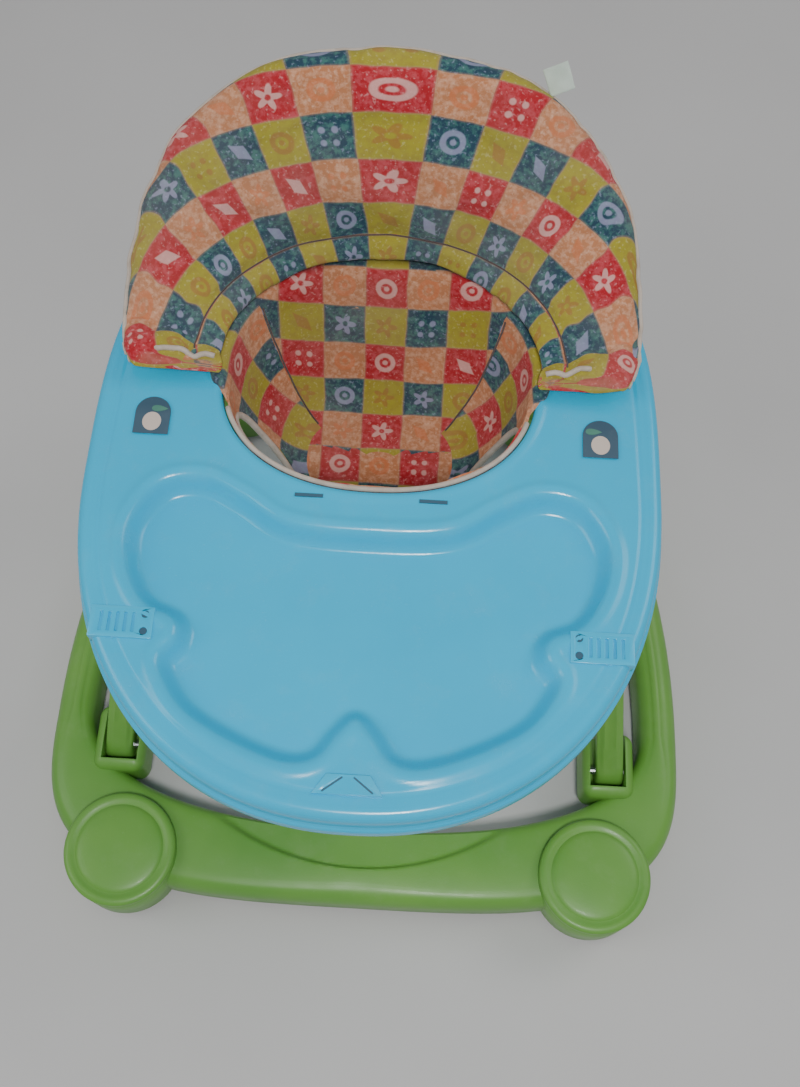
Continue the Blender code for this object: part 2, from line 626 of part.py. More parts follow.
def seat_shell():
    """A thin moulded panel that stands on the tray behind the padded back."""
    stations, reach = 23, math.radians(52)
    rings = []
    for i in range(stations):
        turn = reach * (2 * i / (stations - 1) - 1)
        foot, rim, run, behind = back_frame(turn)
        out = Vector((math.sin(turn), math.cos(turn), 0))
        front, back = [], []
        for side, offset in ((front, 0.0155), (back, 0.0190)):
            side.append(Vector((foot.x, foot.y, TRAY_TOP + GAP)) + out * (offset + 0.004))
            side.append(foot.lerp(rim, 0.22) + behind * offset)
            side.append(foot.lerp(rim, 0.78) + behind * offset)
        rings.append([*front, *reversed(back)])
    loft("seat_back_shell", rings, "blue")


def sling_point(angle, share, wall=0.0):
    """A point of the sling: share runs from 0 at the rim to 1 at the edge of the bottom."""
    x, y = math.cos(angle), math.sin(angle)
    rear, front = max(0.0, y) ** 2, max(0.0, -y) ** 3
    steep = 1.30 + 0.90 * front - 0.25 * rear
    drawn = share ** steep
    power = 2.4 if y > 0 else 2.2
    across = math.copysign(abs(x) ** (2 / power), x)
    ahead = math.copysign(abs(y) ** (2 / power), y)
    depth = (SEAT_REAR if y > 0 else SEAT_FRONT) - SLING_EDGE - wall
    rim = Vector((across * (SEAT_HALF_WIDTH - SLING_EDGE - wall), SEAT_Y + ahead * depth))
    bottom = Vector((across * (0.072 - wall), 0.078 + ahead * ((0.053 if y > 0 else 0.050) - wall)))
    place = rim.lerp(bottom, drawn)
    return Vector((place.x, place.y, SLING_TOP - SLING_DEPTH * math.sin(share * math.pi / 2)))


def seat_sling():
    """A fabric bucket hung from the seat opening: a sloping back, a flat bottom and two leg holes."""
    count = 36
    angles = [2 * math.pi * (i + 0.5) / count for i in range(count)]

    def bucket(name, wall):
        rings = [[sling_point(angle, 0.2 * row, wall) for angle in angles] for row in range(6)]
        middle = Vector((0, 0.078, SLING_TOP - SLING_DEPTH - SLING_SAG))
        rings.append([point.lerp(middle, 0.7) for point in rings[-1]])
        if wall:
            rings = [[Vector((p.x, p.y, p.z + wall)) for p in ring] for ring in rings]
            rings.insert(0, [Vector((p.x, p.y, 0.4)) for p in rings[0]])
        return loft(name, rings, "fabric")

    sling = bucket("seat_sling", 0.0)
    cut(sling, bucket("sling_inside", SLING_WALL))
    for name, side in sides():
        near, far = [], []
        for i in range(20):
            along = 2 * math.pi * i / 20
            angle = -math.pi / 2 + side * math.radians(55 + 31 * superellipse(math.cos(along)))
            point = sling_point(angle, 0.41 + 0.36 * superellipse(math.sin(along)))
            out = Vector((side * 0.70, -0.70, -0.12)).normalized()
            near.append(point - out * 0.030)
            far.append(point + out * 0.030)
        cut(sling, loft(f"leg_hole_{name}", [near, far]))


def superellipse(value):
    """Squares off a round outline a little."""
    return math.copysign(abs(value) ** 0.8, value)


def care_label():
    """A small diamond of ribbon standing out of the rim's seam."""
    foot, rim, run, behind = back_frame(LABEL_TURN)
    along = run.cross(behind)
    half, centre = 0.016, rim + run * 0.0315
    rings = []
    for lift in (0.0, 0.0008):
        rings.append([centre + behind * lift + run * (half * y) + along * (half * x)
                      for x, y in ((0, -1), (1, 0), (0, 1), (-1, 0))])
    loft("care_label", rings, "label", smooth=False)


def move_origin(name, place):
    """Puts a piece's origin at a point without moving the piece."""
    obj = bpy.data.objects[name]
    shift = Matrix.Translation(Vector(place))
    obj.data.transform(shift.inverted())
    obj.matrix_world = shift


def set_origins():
    """Moving pieces turn about their own origins."""
    for name, side in sides():
        caster = (side * FRONT_POD.x, FRONT_POD.y, 0)
        front_axle = (side * FRONT_POD.x, FRONT_POD.y + CASTER_TRAIL, WHEEL_RADIUS)
        rear_axle = (side * REAR_POD.x, REAR_POD.y, WHEEL_RADIUS)
        places = {"caster_stem": caster, "caster_fork": caster, "caster_axle": front_axle,
                  "caster_wheel": front_axle, "rear_wheel": rear_axle,
                  "outer_leg": (0, PIVOT_Y, FOOT_Z), "inner_leg": (0, MID_Y, MID_Z),
                  "tray_slide_pin": (0, PIVOT_Y, FOOT_Z), "base_slide_pin": (0, MID_Y, MID_Z)}
        for kind, place in places.items():
            move_origin(f"{kind}_{name}", place)
    for name in ("tray_top", "tray_underframe", "seat_back_pad", "seat_back_shell", "seat_sling"):
        move_origin(name, (0, PIVOT_Y, TRAY_PIVOT_Z))


def main():
    clear_scene()
    base_ring()
    wheel_caps()
    front_casters()
    rear_wheels()
    grip_pads()
    slide_guides()
    scissor()
    tray_top()
    tray_fittings()
    release_handle()
    seat_back()
    seat_shell()
    seat_sling()
    care_label()
    set_origins()


main()
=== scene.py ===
"""The looks of the baby walker: moulded plastic, padded patchwork seat, stickers and light."""
import json
import math

import bmesh
import bpy
import numpy as np
from mathutils import Matrix, Vector
from mathutils.bvhtree import BVHTree


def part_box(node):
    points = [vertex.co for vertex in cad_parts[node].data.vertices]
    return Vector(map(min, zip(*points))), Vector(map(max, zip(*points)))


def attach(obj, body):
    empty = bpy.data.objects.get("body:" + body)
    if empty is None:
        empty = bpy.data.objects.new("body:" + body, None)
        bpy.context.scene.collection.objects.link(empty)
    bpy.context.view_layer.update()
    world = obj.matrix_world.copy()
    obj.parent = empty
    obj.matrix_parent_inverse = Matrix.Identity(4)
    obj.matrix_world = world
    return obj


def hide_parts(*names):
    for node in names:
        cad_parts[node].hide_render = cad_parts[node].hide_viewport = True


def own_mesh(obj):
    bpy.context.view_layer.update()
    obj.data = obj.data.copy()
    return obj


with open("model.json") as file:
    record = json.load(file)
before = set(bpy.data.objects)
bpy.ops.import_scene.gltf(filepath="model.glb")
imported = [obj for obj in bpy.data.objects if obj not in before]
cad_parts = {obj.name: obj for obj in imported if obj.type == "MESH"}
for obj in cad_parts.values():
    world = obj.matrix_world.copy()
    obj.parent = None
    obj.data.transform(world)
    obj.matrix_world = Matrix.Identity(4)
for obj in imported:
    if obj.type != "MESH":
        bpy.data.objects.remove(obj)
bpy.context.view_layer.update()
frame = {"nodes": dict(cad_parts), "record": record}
NODES = frame["nodes"]

# ---- measures taken from the frame

TRAY_DECK_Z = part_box("tray_top")[1].z
PATCH = 0.041                      # side of one printed square
SIDES = (("left", -1), ("right", 1))
CLOTH_FRAMES = 20
CLOTH_STIFFNESS = 15.0


# ---- mesh helpers

def smoothstep(value):
    value = np.clip(value, 0.0, 1.0)
    return value * value * (3 - 2 * value)


def power_of(value, exponent):
    """A power that keeps the sign of its base."""
    return math.copysign(abs(value) ** exponent, value)


def add_to_scene(obj):
    bpy.context.scene.collection.objects.link(obj)
    return obj


def box_middle(node):
    """The middle of a CAD node's box in plan."""
    low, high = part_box(node)
    return (low.x + high.x) / 2, (low.y + high.y) / 2


def install(obj, body, replaced=None):
    """Rides a piece on a body, and hides the CAD node it stands in for."""
    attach(obj, body)
    if replaced:
        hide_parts(replaced)


def new_object(name, verts, faces, smooth=True):
    mesh = bpy.data.meshes.new(name)
    mesh.from_pydata([tuple(map(float, v)) for v in verts], [], faces)
    mesh.validate()
    if smooth:
        mesh.shade_smooth()
    return add_to_scene(bpy.data.objects.new(name, mesh))


def face_outwards(obj):
    bm = bmesh.new()
    bm.from_mesh(obj.data)
    bmesh.ops.recalc_face_normals(bm, faces=bm.faces)
    bm.to_mesh(obj.data)
    bm.free()


def sheet_of_rings(name, rings, wrap_ring=True, wrap_rows=False, caps=False, uv=None, smooth=True):
    """Rings of equal length bridged into quads; uv gives one (u, v) per point, in metres."""
    rows, count = len(rings), len(rings[0])
    verts = [point for ring in rings for point in ring]
    faces = []
    last_row = rows if wrap_rows else rows - 1
    last_col = count if wrap_ring else count - 1
    for i in range(last_row):
        for j in range(last_col):
            a, b = i * count, ((i + 1) % rows) * count
            k = (j + 1) % count
            faces.append((a + j, a + k, b + k, b + j))
    if caps:
        faces.append(tuple(range(count))[::-1])
        faces.append(tuple((rows - 1) * count + j for j in range(count)))
    obj = new_object(name, verts, faces, smooth)
    if uv is not None:
        layer = obj.data.uv_layers.new(name="cloth")
        flat = [pair for ring in uv for pair in ring]
        for loop in obj.data.loops:
            layer.data[loop.index].uv = flat[loop.vertex_index]
    face_outwards(obj)
    return obj


def apply_modifiers(obj):
    bpy.context.view_layer.update()
    graph = bpy.context.evaluated_depsgraph_get()
    mesh = bpy.data.meshes.new_from_object(obj.evaluated_get(graph), depsgraph=graph)
    obj.modifiers.clear()
    obj.data = mesh
    return obj


def boolean(obj, cutters, operation="DIFFERENCE"):
    for cutter in cutters:
        modifier = obj.modifiers.new("cut", "BOOLEAN")
        modifier.operation = operation
        modifier.solver = "EXACT"
        modifier.object = cutter
    apply_modifiers(obj)
    for cutter in cutters:
        bpy.data.objects.remove(cutter, do_unlink=True)
    return obj


def sharpen(obj, degrees=35):
    obj.data.shade_smooth()
    obj.data.set_sharp_from_angle(angle=math.radians(degrees))
    return obj


def bevel(obj, width, segments=3, degrees=35):
    modifier = obj.modifiers.new("edges", "BEVEL")
    modifier.width = width
    modifier.segments = segments
    modifier.limit_method = "ANGLE"
    modifier.angle_limit = math.radians(degrees)
    return sharpen(apply_modifiers(obj))


def join(name, objects):
    """One object from several, keeping their materials."""
    bm = bmesh.new()
    materials = []
    for obj in objects:
        start = len(bm.faces)
        bm.from_mesh(obj.data)
        bm.faces.ensure_lookup_table()
        for face in bm.faces[start:]:
            source = obj.data.materials[face.material_index] if obj.data.materials else None
            if source not in materials:
                materials.append(source)
            face.material_index = materials.index(source)
    mesh = bpy.data.meshes.new(name)
    bm.to_mesh(mesh)
    bm.free()
    for source in materials:
        mesh.materials.append(source)
    for obj in objects:
        bpy.data.objects.remove(obj, do_unlink=True)
    return add_to_scene(bpy.data.objects.new(name, mesh))


def circle(centre, radius, count):
    angles = np.linspace(0, 2 * np.pi, count, endpoint=False)
    return np.stack([centre[0] + radius * np.cos(angles), centre[1] + radius * np.sin(angles)], 1)


def prism(name, outline, low, high, smooth=True):
    """An outline in plan, drawn up from one height to another."""
    rings = [[(x, y, z) for x, y in outline] for z in (low, high)]
    return sheet_of_rings(name, rings, caps=True, smooth=smooth)


def block(name, low, high):
    left, right = sorted((low[0], high[0]))
    outline = [(left, low[1]), (right, low[1]), (right, high[1]), (left, high[1])]
    return prism(name, outline, low[2], high[2], smooth=False)


def turned(name, centre, profile, count=96, axis="Z", closed=False):
    """A round piece; profile is (radius, height) pairs."""
    spin = Matrix.Identity(3) if axis == "Z" else Matrix.Rotation(math.pi / 2, 3, "Y")
    rings = []
    for radius, height in profile:
        rings.append([spin @ Vector((x, y, height)) + Vector(centre)
                      for x, y in circle((0, 0), radius, count)])
    obj = sheet_of_rings(name, rings, caps=not closed, wrap_rows=closed)
    return sharpen(obj, 40)


def tube(name, path, radius, sides=8, closed=True):
    """A round tube along a path of points."""
    points = [Vector(p) for p in path]
    count = len(points)
    rings, coords, run = [], [], 0.0
    previous = None
    for i, point in enumerate(points):
        after = points[(i + 1) % count] if closed or i < count - 1 else points[i]
        before = points[i - 1] if closed or i else points[i]
        tangent = (after - before).normalized()
        if previous is None:
            side = tangent.orthogonal().normalized()
        else:
            side = (previous - tangent * previous.dot(tangent)).normalized()
        previous = side
        up = tangent.cross(side)
        ring, coord = [], []
        for k in range(sides):
            angle = 2 * math.pi * k / sides
            ring.append(point + (side * math.cos(angle) + up * math.sin(angle)) * radius)
            coord.append((run, k / sides * 2 * math.pi * radius))
        rings.append(ring)
        coords.append(coord)
        run += (after - point).length
    return sheet_of_rings(name, rings, wrap_rows=closed, caps=not closed, uv=coords)


def egg(half_width, front, rear, centre_y, power_front, power_rear, angles, shrink=0.0):
    """Points of an outline made of two superellipse halves, moved inwards by shrink."""
    x, y = np.cos(angles), np.sin(angles)
    depth = np.where(y > 0, rear, front) - shrink
    power = np.where(y > 0, power_rear, power_front)
    reach_x = np.sign(x) * np.abs(x) ** (2 / power) * (half_width - shrink)
    reach_y = np.sign(y) * np.abs(y) ** (2 / power) * depth
    return np.stack([reach_x, centre_y + reach_y], 1)


def even_angles(outline, count):
    """Angles that space an outline's points evenly along it."""
    fine = np.linspace(0, 2 * np.pi, 2881)
    points = outline(fine)
    length = np.concatenate([[0], np.cumsum(np.hypot(*np.diff(points, axis=0).T))])
    return np.interp(np.linspace(0, length[-1], count, endpoint=False), length, fine)


def vertex_rows(mesh, field="co"):
    """The vertices' positions or normals, one row each."""
    values = np.empty(len(mesh.vertices) * 3)
    mesh.vertices.foreach_get(field, values)
    return values.reshape(-1, 3)


def displace(obj, amount):
    """Moves each vertex along its normal by amount(position)."""
    mesh = obj.data
    co = vertex_rows(mesh)
    co += vertex_rows(mesh, "normal") * amount(co)[:, None]
    mesh.vertices.foreach_set("co", co.ravel())
    mesh.update()
    return obj


def puff(obj, pressure, cap, weights):
    """Swells a closed mesh as cloth; weights say 1 where a vertex is held, and cap is the longest move."""
    mesh = obj.data
    rest = vertex_rows(mesh)
    group = obj.vertex_groups.new(name="held")
    for i, weight in enumerate(weights):
        if weight > 0:
            group.add([i], float(weight), "REPLACE")
    cloth = obj.modifiers.new("cloth", "CLOTH")
    settings = cloth.settings
    settings.quality = 6
    settings.use_pressure = True
    settings.uniform_pressure_force = pressure
    settings.tension_stiffness = CLOTH_STIFFNESS
    settings.compression_stiffness = CLOTH_STIFFNESS
    settings.bending_stiffness = 0.4
    settings.vertex_group_mass = "held"
    settings.effector_weights.gravity = 0.0
    cloth.point_cache.frame_start = 1
    cloth.point_cache.frame_end = CLOTH_FRAMES
    scene = bpy.context.scene
    for number in range(1, CLOTH_FRAMES + 1):
        scene.frame_set(number)
    graph = bpy.context.evaluated_depsgraph_get()
    move = vertex_rows(obj.evaluated_get(graph).data) - rest
    length = np.linalg.norm(move, axis=1, keepdims=True)
    move *= np.minimum(1.0, cap / np.maximum(length, 1e-9))
    obj.modifiers.clear()
    scene.frame_set(1)
    mesh.vertices.foreach_set("co", (rest + move).ravel())
    mesh.update()


def subdivide(obj):
    modifier = obj.modifiers.new("smooth", "SUBSURF")
    modifier.levels = 1
    modifier.render_levels = 1
    apply_modifiers(obj)


# ---- material helpers

class Nodes:
    """A thin wrapper that adds and links shader nodes."""

    def __init__(self, name):
        self.material = bpy.data.materials.new(name)
        self.material.use_nodes = True
        self.tree = self.material.node_tree
        self.shader = self.tree.nodes["Principled BSDF"]

    def add(self, kind, **values):
        node = self.tree.nodes.new(kind)
        for key, value in values.items():
            setattr(node, key, value)
        return node

    def link(self, source, target):
        self.tree.links.new(source, target)

    def feed(self, socket, value):
        if isinstance(value, bpy.types.NodeSocket):
            self.link(value, socket)
        else:
            socket.default_value = value

    def shade(self, name, value):
        """Sets one input of the surface shader, from another node or to a fixed value."""
        self.feed(self.shader.inputs[name], value)

    def math(self, operation, first, second=0.0, third=0.0, clamp=False):
        node = self.add("ShaderNodeMath", operation=operation, use_clamp=clamp)
        for socket, value in zip(node.inputs, (first, second, third)):
            self.feed(socket, value)
        return node.outputs[0]

    def product(self, first, second):
        return self.math("MULTIPLY", first, second)

    def distance(self, first, second):
        return self.math("SQRT", self.math("ADD", self.product(first, first), self.product(second, second)))

    def size(self, value):
        return self.math("ABSOLUTE", value)

    def mix(self, factor, first, second, blend="MIX"):
        node = self.add("ShaderNodeMix", data_type="RGBA", blend_type=blend)
        self.feed(node.inputs[0], factor)
        self.feed(node.inputs[6], first)
        self.feed(node.inputs[7], second)
        return node.outputs[2]

    def ramp(self, value, low, high, out_low=0.0, out_high=1.0):
        node = self.add("ShaderNodeMapRange")
        for socket, item in zip(node.inputs, (value, low, high, out_low, out_high)):
            self.feed(socket, item)
        return node.outputs[0]

    def noise(self, vector, scale, detail=3.0, roughness=0.5, distortion=0.0):
        node = self.add("ShaderNodeTexNoise")
        self.link(vector, node.inputs["Vector"])
        node.inputs["Scale"].default_value = scale
        node.inputs["Detail"].default_value = detail
        node.inputs["Roughness"].default_value = roughness
        node.inputs["Distortion"].default_value = distortion
        return node.outputs["Fac"]

    def place(self, stretch=(1.0, 1.0, 1.0)):
        coord = self.add("ShaderNodeTexCoord")
        mapping = self.add("ShaderNodeMapping")
        mapping.inputs["Scale"].default_value = stretch
        self.link(coord.outputs["Object"], mapping.inputs["Vector"])
        return mapping.outputs[0]

    def bump(self, height, strength, distance, under=None):
        node = self.add("ShaderNodeBump")
        node.inputs["Strength"].default_value = strength
        node.inputs["Distance"].default_value = distance
        self.link(height, node.inputs["Height"])
        if under is not None:
            self.link(under, node.inputs["Normal"])
        return node.outputs[0]


def rgb(red, green, blue):
    return (red, green, blue, 1.0)


def plastic(name, colour, dark, roughness, grain=0.02, coat=0.0, scuffs=0.3):
    """Moulded plastic: a fine grain, slow colour drift, dust and a few drawn-out scuffs."""
    n = Nodes(name)
    where = n.place()
    drift = n.noise(where, 6.0, 4.0, 0.6)
    body = n.mix(n.ramp(drift, 0.35, 0.7), dark, colour)
    specks = n.noise(where, 420.0, 2.0)
    body = n.mix(n.ramp(specks, 0.66, 0.8, 0.0, 0.05), body, rgb(0.7, 0.7, 0.66))
    dust = n.noise(where, 28.0, 6.0, 0.7)
    body = n.mix(n.ramp(dust, 0.54, 0.8, 0.0, 0.06), body, rgb(0.55, 0.52, 0.46))
    edges = n.add("ShaderNodeNewGeometry")
    worn = n.ramp(edges.outputs["Pointiness"], 0.53, 0.62, 0.0, 0.25)
    body = n.mix(worn, body, rgb(*(min(1.0, 0.15 + c * 1.25) for c in colour[:3])))
    n.shade("Base Color", body)
    scratch = n.noise(n.place((260.0, 9.0, 60.0)), 1.0, 3.0, 0.6, 0.4)
    lines = n.ramp(scratch, 0.69, 0.78, 0.0, scuffs)
    rough = n.ramp(dust, 0.3, 0.75, roughness - 0.05, roughness + 0.10)
    n.shade("Roughness", n.math("ADD", rough, n.product(lines, 0.18), clamp=True))
    pores = n.noise(where, 900.0, 2.0)
    fine = n.bump(pores, 0.25, grain * 0.01)
    ripple = n.noise(where, 11.0, 2.0)
    under = n.bump(ripple, 0.25, 0.0012, fine)
    n.shade("Normal", n.bump(lines, 0.12, 0.0002, under))
    n.shade("Coat Weight", coat)
    n.shade("Coat Roughness", 0.12)
    return n.material


def metal(name, colour, roughness):
    n = Nodes(name)
    brushed = n.noise(n.place((40.0, 900.0, 900.0)), 1.0, 3.0)
    n.shade("Base Color", n.mix(n.ramp(brushed, 0.3, 0.7, 0.0, 0.5), colour, rgb(0.30, 0.31, 0.33)))
    n.shade("Roughness", n.ramp(brushed, 0.2, 0.8, roughness - 0.1, roughness + 0.12))
    n.shade("Normal", n.bump(brushed, 0.3, 0.0001))
    n.shade("Metallic", 1.0)
    return n.material


def rubber(name, colour):
    n = Nodes(name)
    where = n.place()
    dust = n.noise(where, 60.0, 5.0, 0.7)
    n.shade("Base Color", n.mix(n.ramp(dust, 0.45, 0.8, 0.0, 0.35), colour, rgb(0.28, 0.25, 0.22)))
    n.shade("Roughness", n.ramp(dust, 0.3, 0.8, 0.6, 0.9))
    n.shade("Normal", n.bump(n.noise(where, 700.0, 2.0), 0.4, 0.0003))
    return n.material


def weave_bump(n, u, v, pitch, depth, under=None):
    """Over and under threads from two crossed waves, in metres of cloth."""
    waves = [n.math("SINE", n.product(axis, 2 * math.pi / pitch)) for axis in (u, v)]
    return n.bump(n.product(*waves), 0.5, depth, under)


def cloth_axes(n):
    uv = n.add("ShaderNodeUVMap", uv_map="cloth")
    split = n.add("ShaderNodeSeparateXYZ")
    n.link(uv.outputs[0], split.inputs[0])
    return split.outputs[0], split.outputs[1]


def patchwork(name):
    """Printed squares in two alternating rows, each with a mottled ground and a small plain shape."""
    n = Nodes(name)
    u, v = cloth_axes(n)
    where = n.place()
    wobble = n.product(n.math("SUBTRACT", n.noise(where, 26.0, 2.0), 0.5), 0.10)
    col_at = n.math("ADD", n.math("ADD", n.math("DIVIDE", u, PATCH), 0.5), wobble)
    row_at = n.math("ADD", n.math("DIVIDE", v, PATCH), wobble)
    col, row = n.math("FLOOR", col_at), n.math("FLOOR", row_at)
    across = n.math("SUBTRACT", n.math("SUBTRACT", col_at, col), 0.5)
    along = n.math("SUBTRACT", n.math("SUBTRACT", row_at, row), 0.5)
    odd_col = n.math("PINGPONG", col, 1.0)
    odd_row = n.math("PINGPONG", row, 1.0)

    red, peach = rgb(0.42, 0.006, 0.014), rgb(0.50, 0.19, 0.08)
    lime, navy = rgb(0.36, 0.31, 0.022), rgb(0.012, 0.050, 0.085)
    warm = n.mix(odd_col, red, peach)
    cool = n.mix(odd_col, lime, navy)
    ground = n.mix(odd_row, cool, warm)
    mottle = n.noise(where, 190.0, 3.0, 0.6)
    accents = n.mix(odd_row, n.mix(odd_col, rgb(0.30, 0.22, 0.03), rgb(0.08, 0.26, 0.20)),
                    n.mix(odd_col, rgb(0.62, 0.10, 0.12), rgb(0.78, 0.44, 0.28)))
    ground = n.mix(n.ramp(mottle, 0.44, 0.64, 0.0, 0.55), ground, accents)
    flecks = n.noise(where, 330.0, 1.0)
    pale = n.mix(odd_row, n.mix(odd_col, rgb(0.66, 0.62, 0.26), rgb(0.34, 0.40, 0.56)),
                 n.mix(odd_col, rgb(0.80, 0.44, 0.42), rgb(0.82, 0.56, 0.40)))
    ground = n.mix(n.ramp(flecks, 0.60, 0.72, 0.0, 0.35), ground, pale)

    cell = n.add("ShaderNodeCombineXYZ")
    n.link(col, cell.inputs[0])
    n.link(row, cell.inputs[1])
    dice = n.add("ShaderNodeTexWhiteNoise")
    n.link(cell.outputs[0], dice.inputs["Vector"])
    lot = dice.outputs["Value"]
    far = n.distance(across, along)
    ring = n.ramp(n.size(n.math("SUBTRACT", far, 0.20)), 0.045, 0.075, 1.0, 0.0)
    ring = n.math("MAXIMUM", ring, n.ramp(far, 0.05, 0.08, 1.0, 0.0))
    petals = n.math("COSINE", n.product(n.math("ARCTAN2", along, across), 5.0))
    petal_reach = n.math("ADD", n.product(petals, 0.08), 0.20)
    flower = n.ramp(n.math("SUBTRACT", far, petal_reach), -0.02, 0.02, 1.0, 0.0)
    flower = n.product(flower, n.ramp(far, 0.05, 0.08, 0.0, 1.0))
    leaf = n.math("ADD", n.size(n.math("ADD", across, along)),
                  n.product(n.size(n.math("SUBTRACT", across, along)), 0.5))
    leaf = n.ramp(leaf, 0.20, 0.24, 1.0, 0.0)
    spot = n.distance(*(n.math("SUBTRACT", n.size(axis), 0.135) for axis in (across, along)))
    spots = n.ramp(spot, 0.055, 0.085, 1.0, 0.0)
    first = n.mix(n.math("GREATER_THAN", lot, 0.3), ring, flower)
    second = n.mix(n.math("GREATER_THAN", lot, 0.8), leaf, spots)
    motif = n.mix(n.math("GREATER_THAN", lot, 0.55), first, second)
    motif_level = n.add("ShaderNodeRGBToBW")
    n.link(motif, motif_level.inputs[0])
    ink_warm = n.mix(odd_col, rgb(0.82, 0.52, 0.46), rgb(0.62, 0.16, 0.05))
    ink_cool = n.mix(odd_col, rgb(0.34, 0.13, 0.03), rgb(0.36, 0.36, 0.55))
    ink = n.mix(odd_row, ink_cool, ink_warm)
    printed = n.mix(n.product(motif_level.outputs[0], 0.62), ground, ink)

    edge = n.ramp(n.math("MAXIMUM", n.size(across), n.size(along)), 0.455, 0.49)
    printed = n.mix(n.product(edge, 0.35), printed, rgb(0.42, 0.25, 0.16))
    worn = n.noise(where, 9.0, 4.0, 0.6)
    printed = n.mix(n.ramp(worn, 0.4, 0.75, 0.0, 0.22), printed, rgb(0.46, 0.36, 0.28))
    n.shade("Base Color", printed)
    n.shade("Roughness", 0.86)
    n.shade("Sheen Weight", 0.06)
    n.shade("Sheen Roughness", 0.45)
    soft = n.bump(n.noise(where, 60.0, 3.0), 0.35, 0.0012)
    stitched = n.bump(edge, 0.25, 0.0006, soft)
    n.shade("Normal", weave_bump(n, u, v, 0.0011, 0.00025, stitched))
    return n.material


def plain_cloth(name, colour, shade, pitch=0.0008):
    """Plain woven tape for bindings, piping and labels."""
    n = Nodes(name)
    u, v = cloth_axes(n)
    where = n.place()
    soil = n.noise(where, 70.0, 4.0, 0.6)
    n.shade("Base Color", n.mix(n.ramp(soil, 0.4, 0.75, 0.0, 0.8), colour, shade))
    n.shade("Roughness", 0.85)
    n.shade("Sheen Weight", 0.3)
    n.shade("Normal", weave_bump(n, u, v, pitch, 0.0002))
    return n.material


BLUE = plastic("blue_gloss_plastic", rgb(0.0, 0.50, 0.80), rgb(0.0, 0.46, 0.75), 0.20, 0.01, 0.06)
GREEN = plastic("green_satin_plastic", rgb(0.150, 0.36, 0.055), rgb(0.115, 0.31, 0.045), 0.40, 0.03, 0.05)
GREY = plastic("grey_matt_plastic", rgb(0.11, 0.11, 0.12), rgb(0.08, 0.08, 0.09), 0.5, 0.03)
# Painted shade: a dark blue laid in hole floors, slit floors and over the seat clips, where only shade falls
SHADOW = plastic("painted_shade_plastic", rgb(0.0, 0.075, 0.13), rgb(0.0, 0.05, 0.10), 0.5, 0.02)
STEEL = metal("plated_steel", rgb(0.56, 0.57, 0.60), 0.32)
RUBBER = rubber("black_rubber", rgb(0.025, 0.025, 0.027))
PATCHES = patchwork("patchwork_print")
BINDING = plain_cloth("cream_binding", rgb(0.58, 0.50, 0.42), rgb(0.40, 0.32, 0.25))
RIBBON = plain_cloth("mint_ribbon", rgb(0.66, 0.76, 0.66), rgb(0.52, 0.62, 0.52), 0.0006)
THREAD = plain_cloth("dark_thread", rgb(0.10, 0.055, 0.05), rgb(0.05, 0.03, 0.03), 0.0005)
DARK_PRINT = plastic("navy_sticker_print", rgb(0.020, 0.075, 0.12), rgb(0.012, 0.05, 0.09), 0.35, 0.005)
PALE_PRINT = plastic("cream_sticker_print", rgb(0.62, 0.54, 0.47), rgb(0.52, 0.42, 0.36), 0.38, 0.005)
LEAF_PRINT = plastic("green_sticker_print", rgb(0.05, 0.22, 0.15), rgb(0.04, 0.16, 0.12), 0.35, 0.005)


def paint(obj, material):
    obj.data.materials.clear()
    obj.data.materials.append(material)
    return obj


# ---- tray

SEAT_Y = 0.084
RECESS_HALF = ((0.0, -0.069), (0.070, -0.064), (0.114, -0.039), (0.151, -0.023), (0.188, -0.032),
               (0.210, -0.069), (0.207, -0.109), (0.188, -0.143), (0.160, -0.157), (0.156, -0.174),
               (0.167, -0.190), (0.163, -0.208), (0.140, -0.237), (0.096, -0.261), (0.055, -0.274),
               (0.030, -0.269), (0.014, -0.249), (0.0, -0.236))
RECESS_DEPTH = 0.0175
INSERT_LIFT = 0.0008               # how far a socket plate stands above its CAD node
# How far in from the tray's outline, and at what height, the skirt runs from its inner edge to the rim
SKIRT = ((0.0032, 0.3455), (0.0030, 0.3300), (0.0022, 0.3284), (0.0010, 0.3281), (0.0002, 0.3290),
         (0.0, 0.3310), (0.0, 0.3425), (0.0004, 0.3440), (0.0018, 0.3452), (0.0030, 0.3460),
         (0.0036, 0.3475), (0.0038, 0.3500), (0.0039, 0.3600))
# The same for the collar round the seat opening, from the deck's edge down and back up inside
COLLAR = ((0.0, 0.3600), (0.0, 0.3535), (0.0, 0.3480), (0.0012, 0.3474), (0.0028, 0.3480),
          (0.0030, 0.3600))
RIM_INSET, RIM_START_Z, RIM_RADIUS = 0.0039, 0.3605, 0.0095
COLLAR_RADIUS = 0.0055
DECK_RINGS = 120


def tray_outline(angles, shrink=0.0):
    return egg(0.262, 0.304, 0.310, -0.019, 2.2, 3.2, angles, shrink)


def seat_outline(angles, grow=0.0):
    return egg(0.145, 0.113, 0.125, SEAT_Y, 2.2, 2.4, angles, -grow)


def smooth_closed(points, steps):
    """A closed Catmull-Rom curve through the points."""
    points = np.asarray(points, float)
    before, after = np.roll(points, 1, 0), np.roll(points, -1, 0)
    later = np.roll(points, -2, 0)
    curve = []
    for step in range(steps):
        t = step / steps
        curve.append(0.5 * (2 * points + (after - before) * t
                            + (2 * before - 5 * points + 4 * after - later) * t ** 2
                            + (3 * points - before - 3 * after + later) * t ** 3))
    return np.stack(curve, 1).reshape(-1, 2)


def recess_outline():
    half = list(RECESS_HALF)
    return smooth_closed(half + [(-x, y) for x, y in reversed(half[1:-1])], 8)


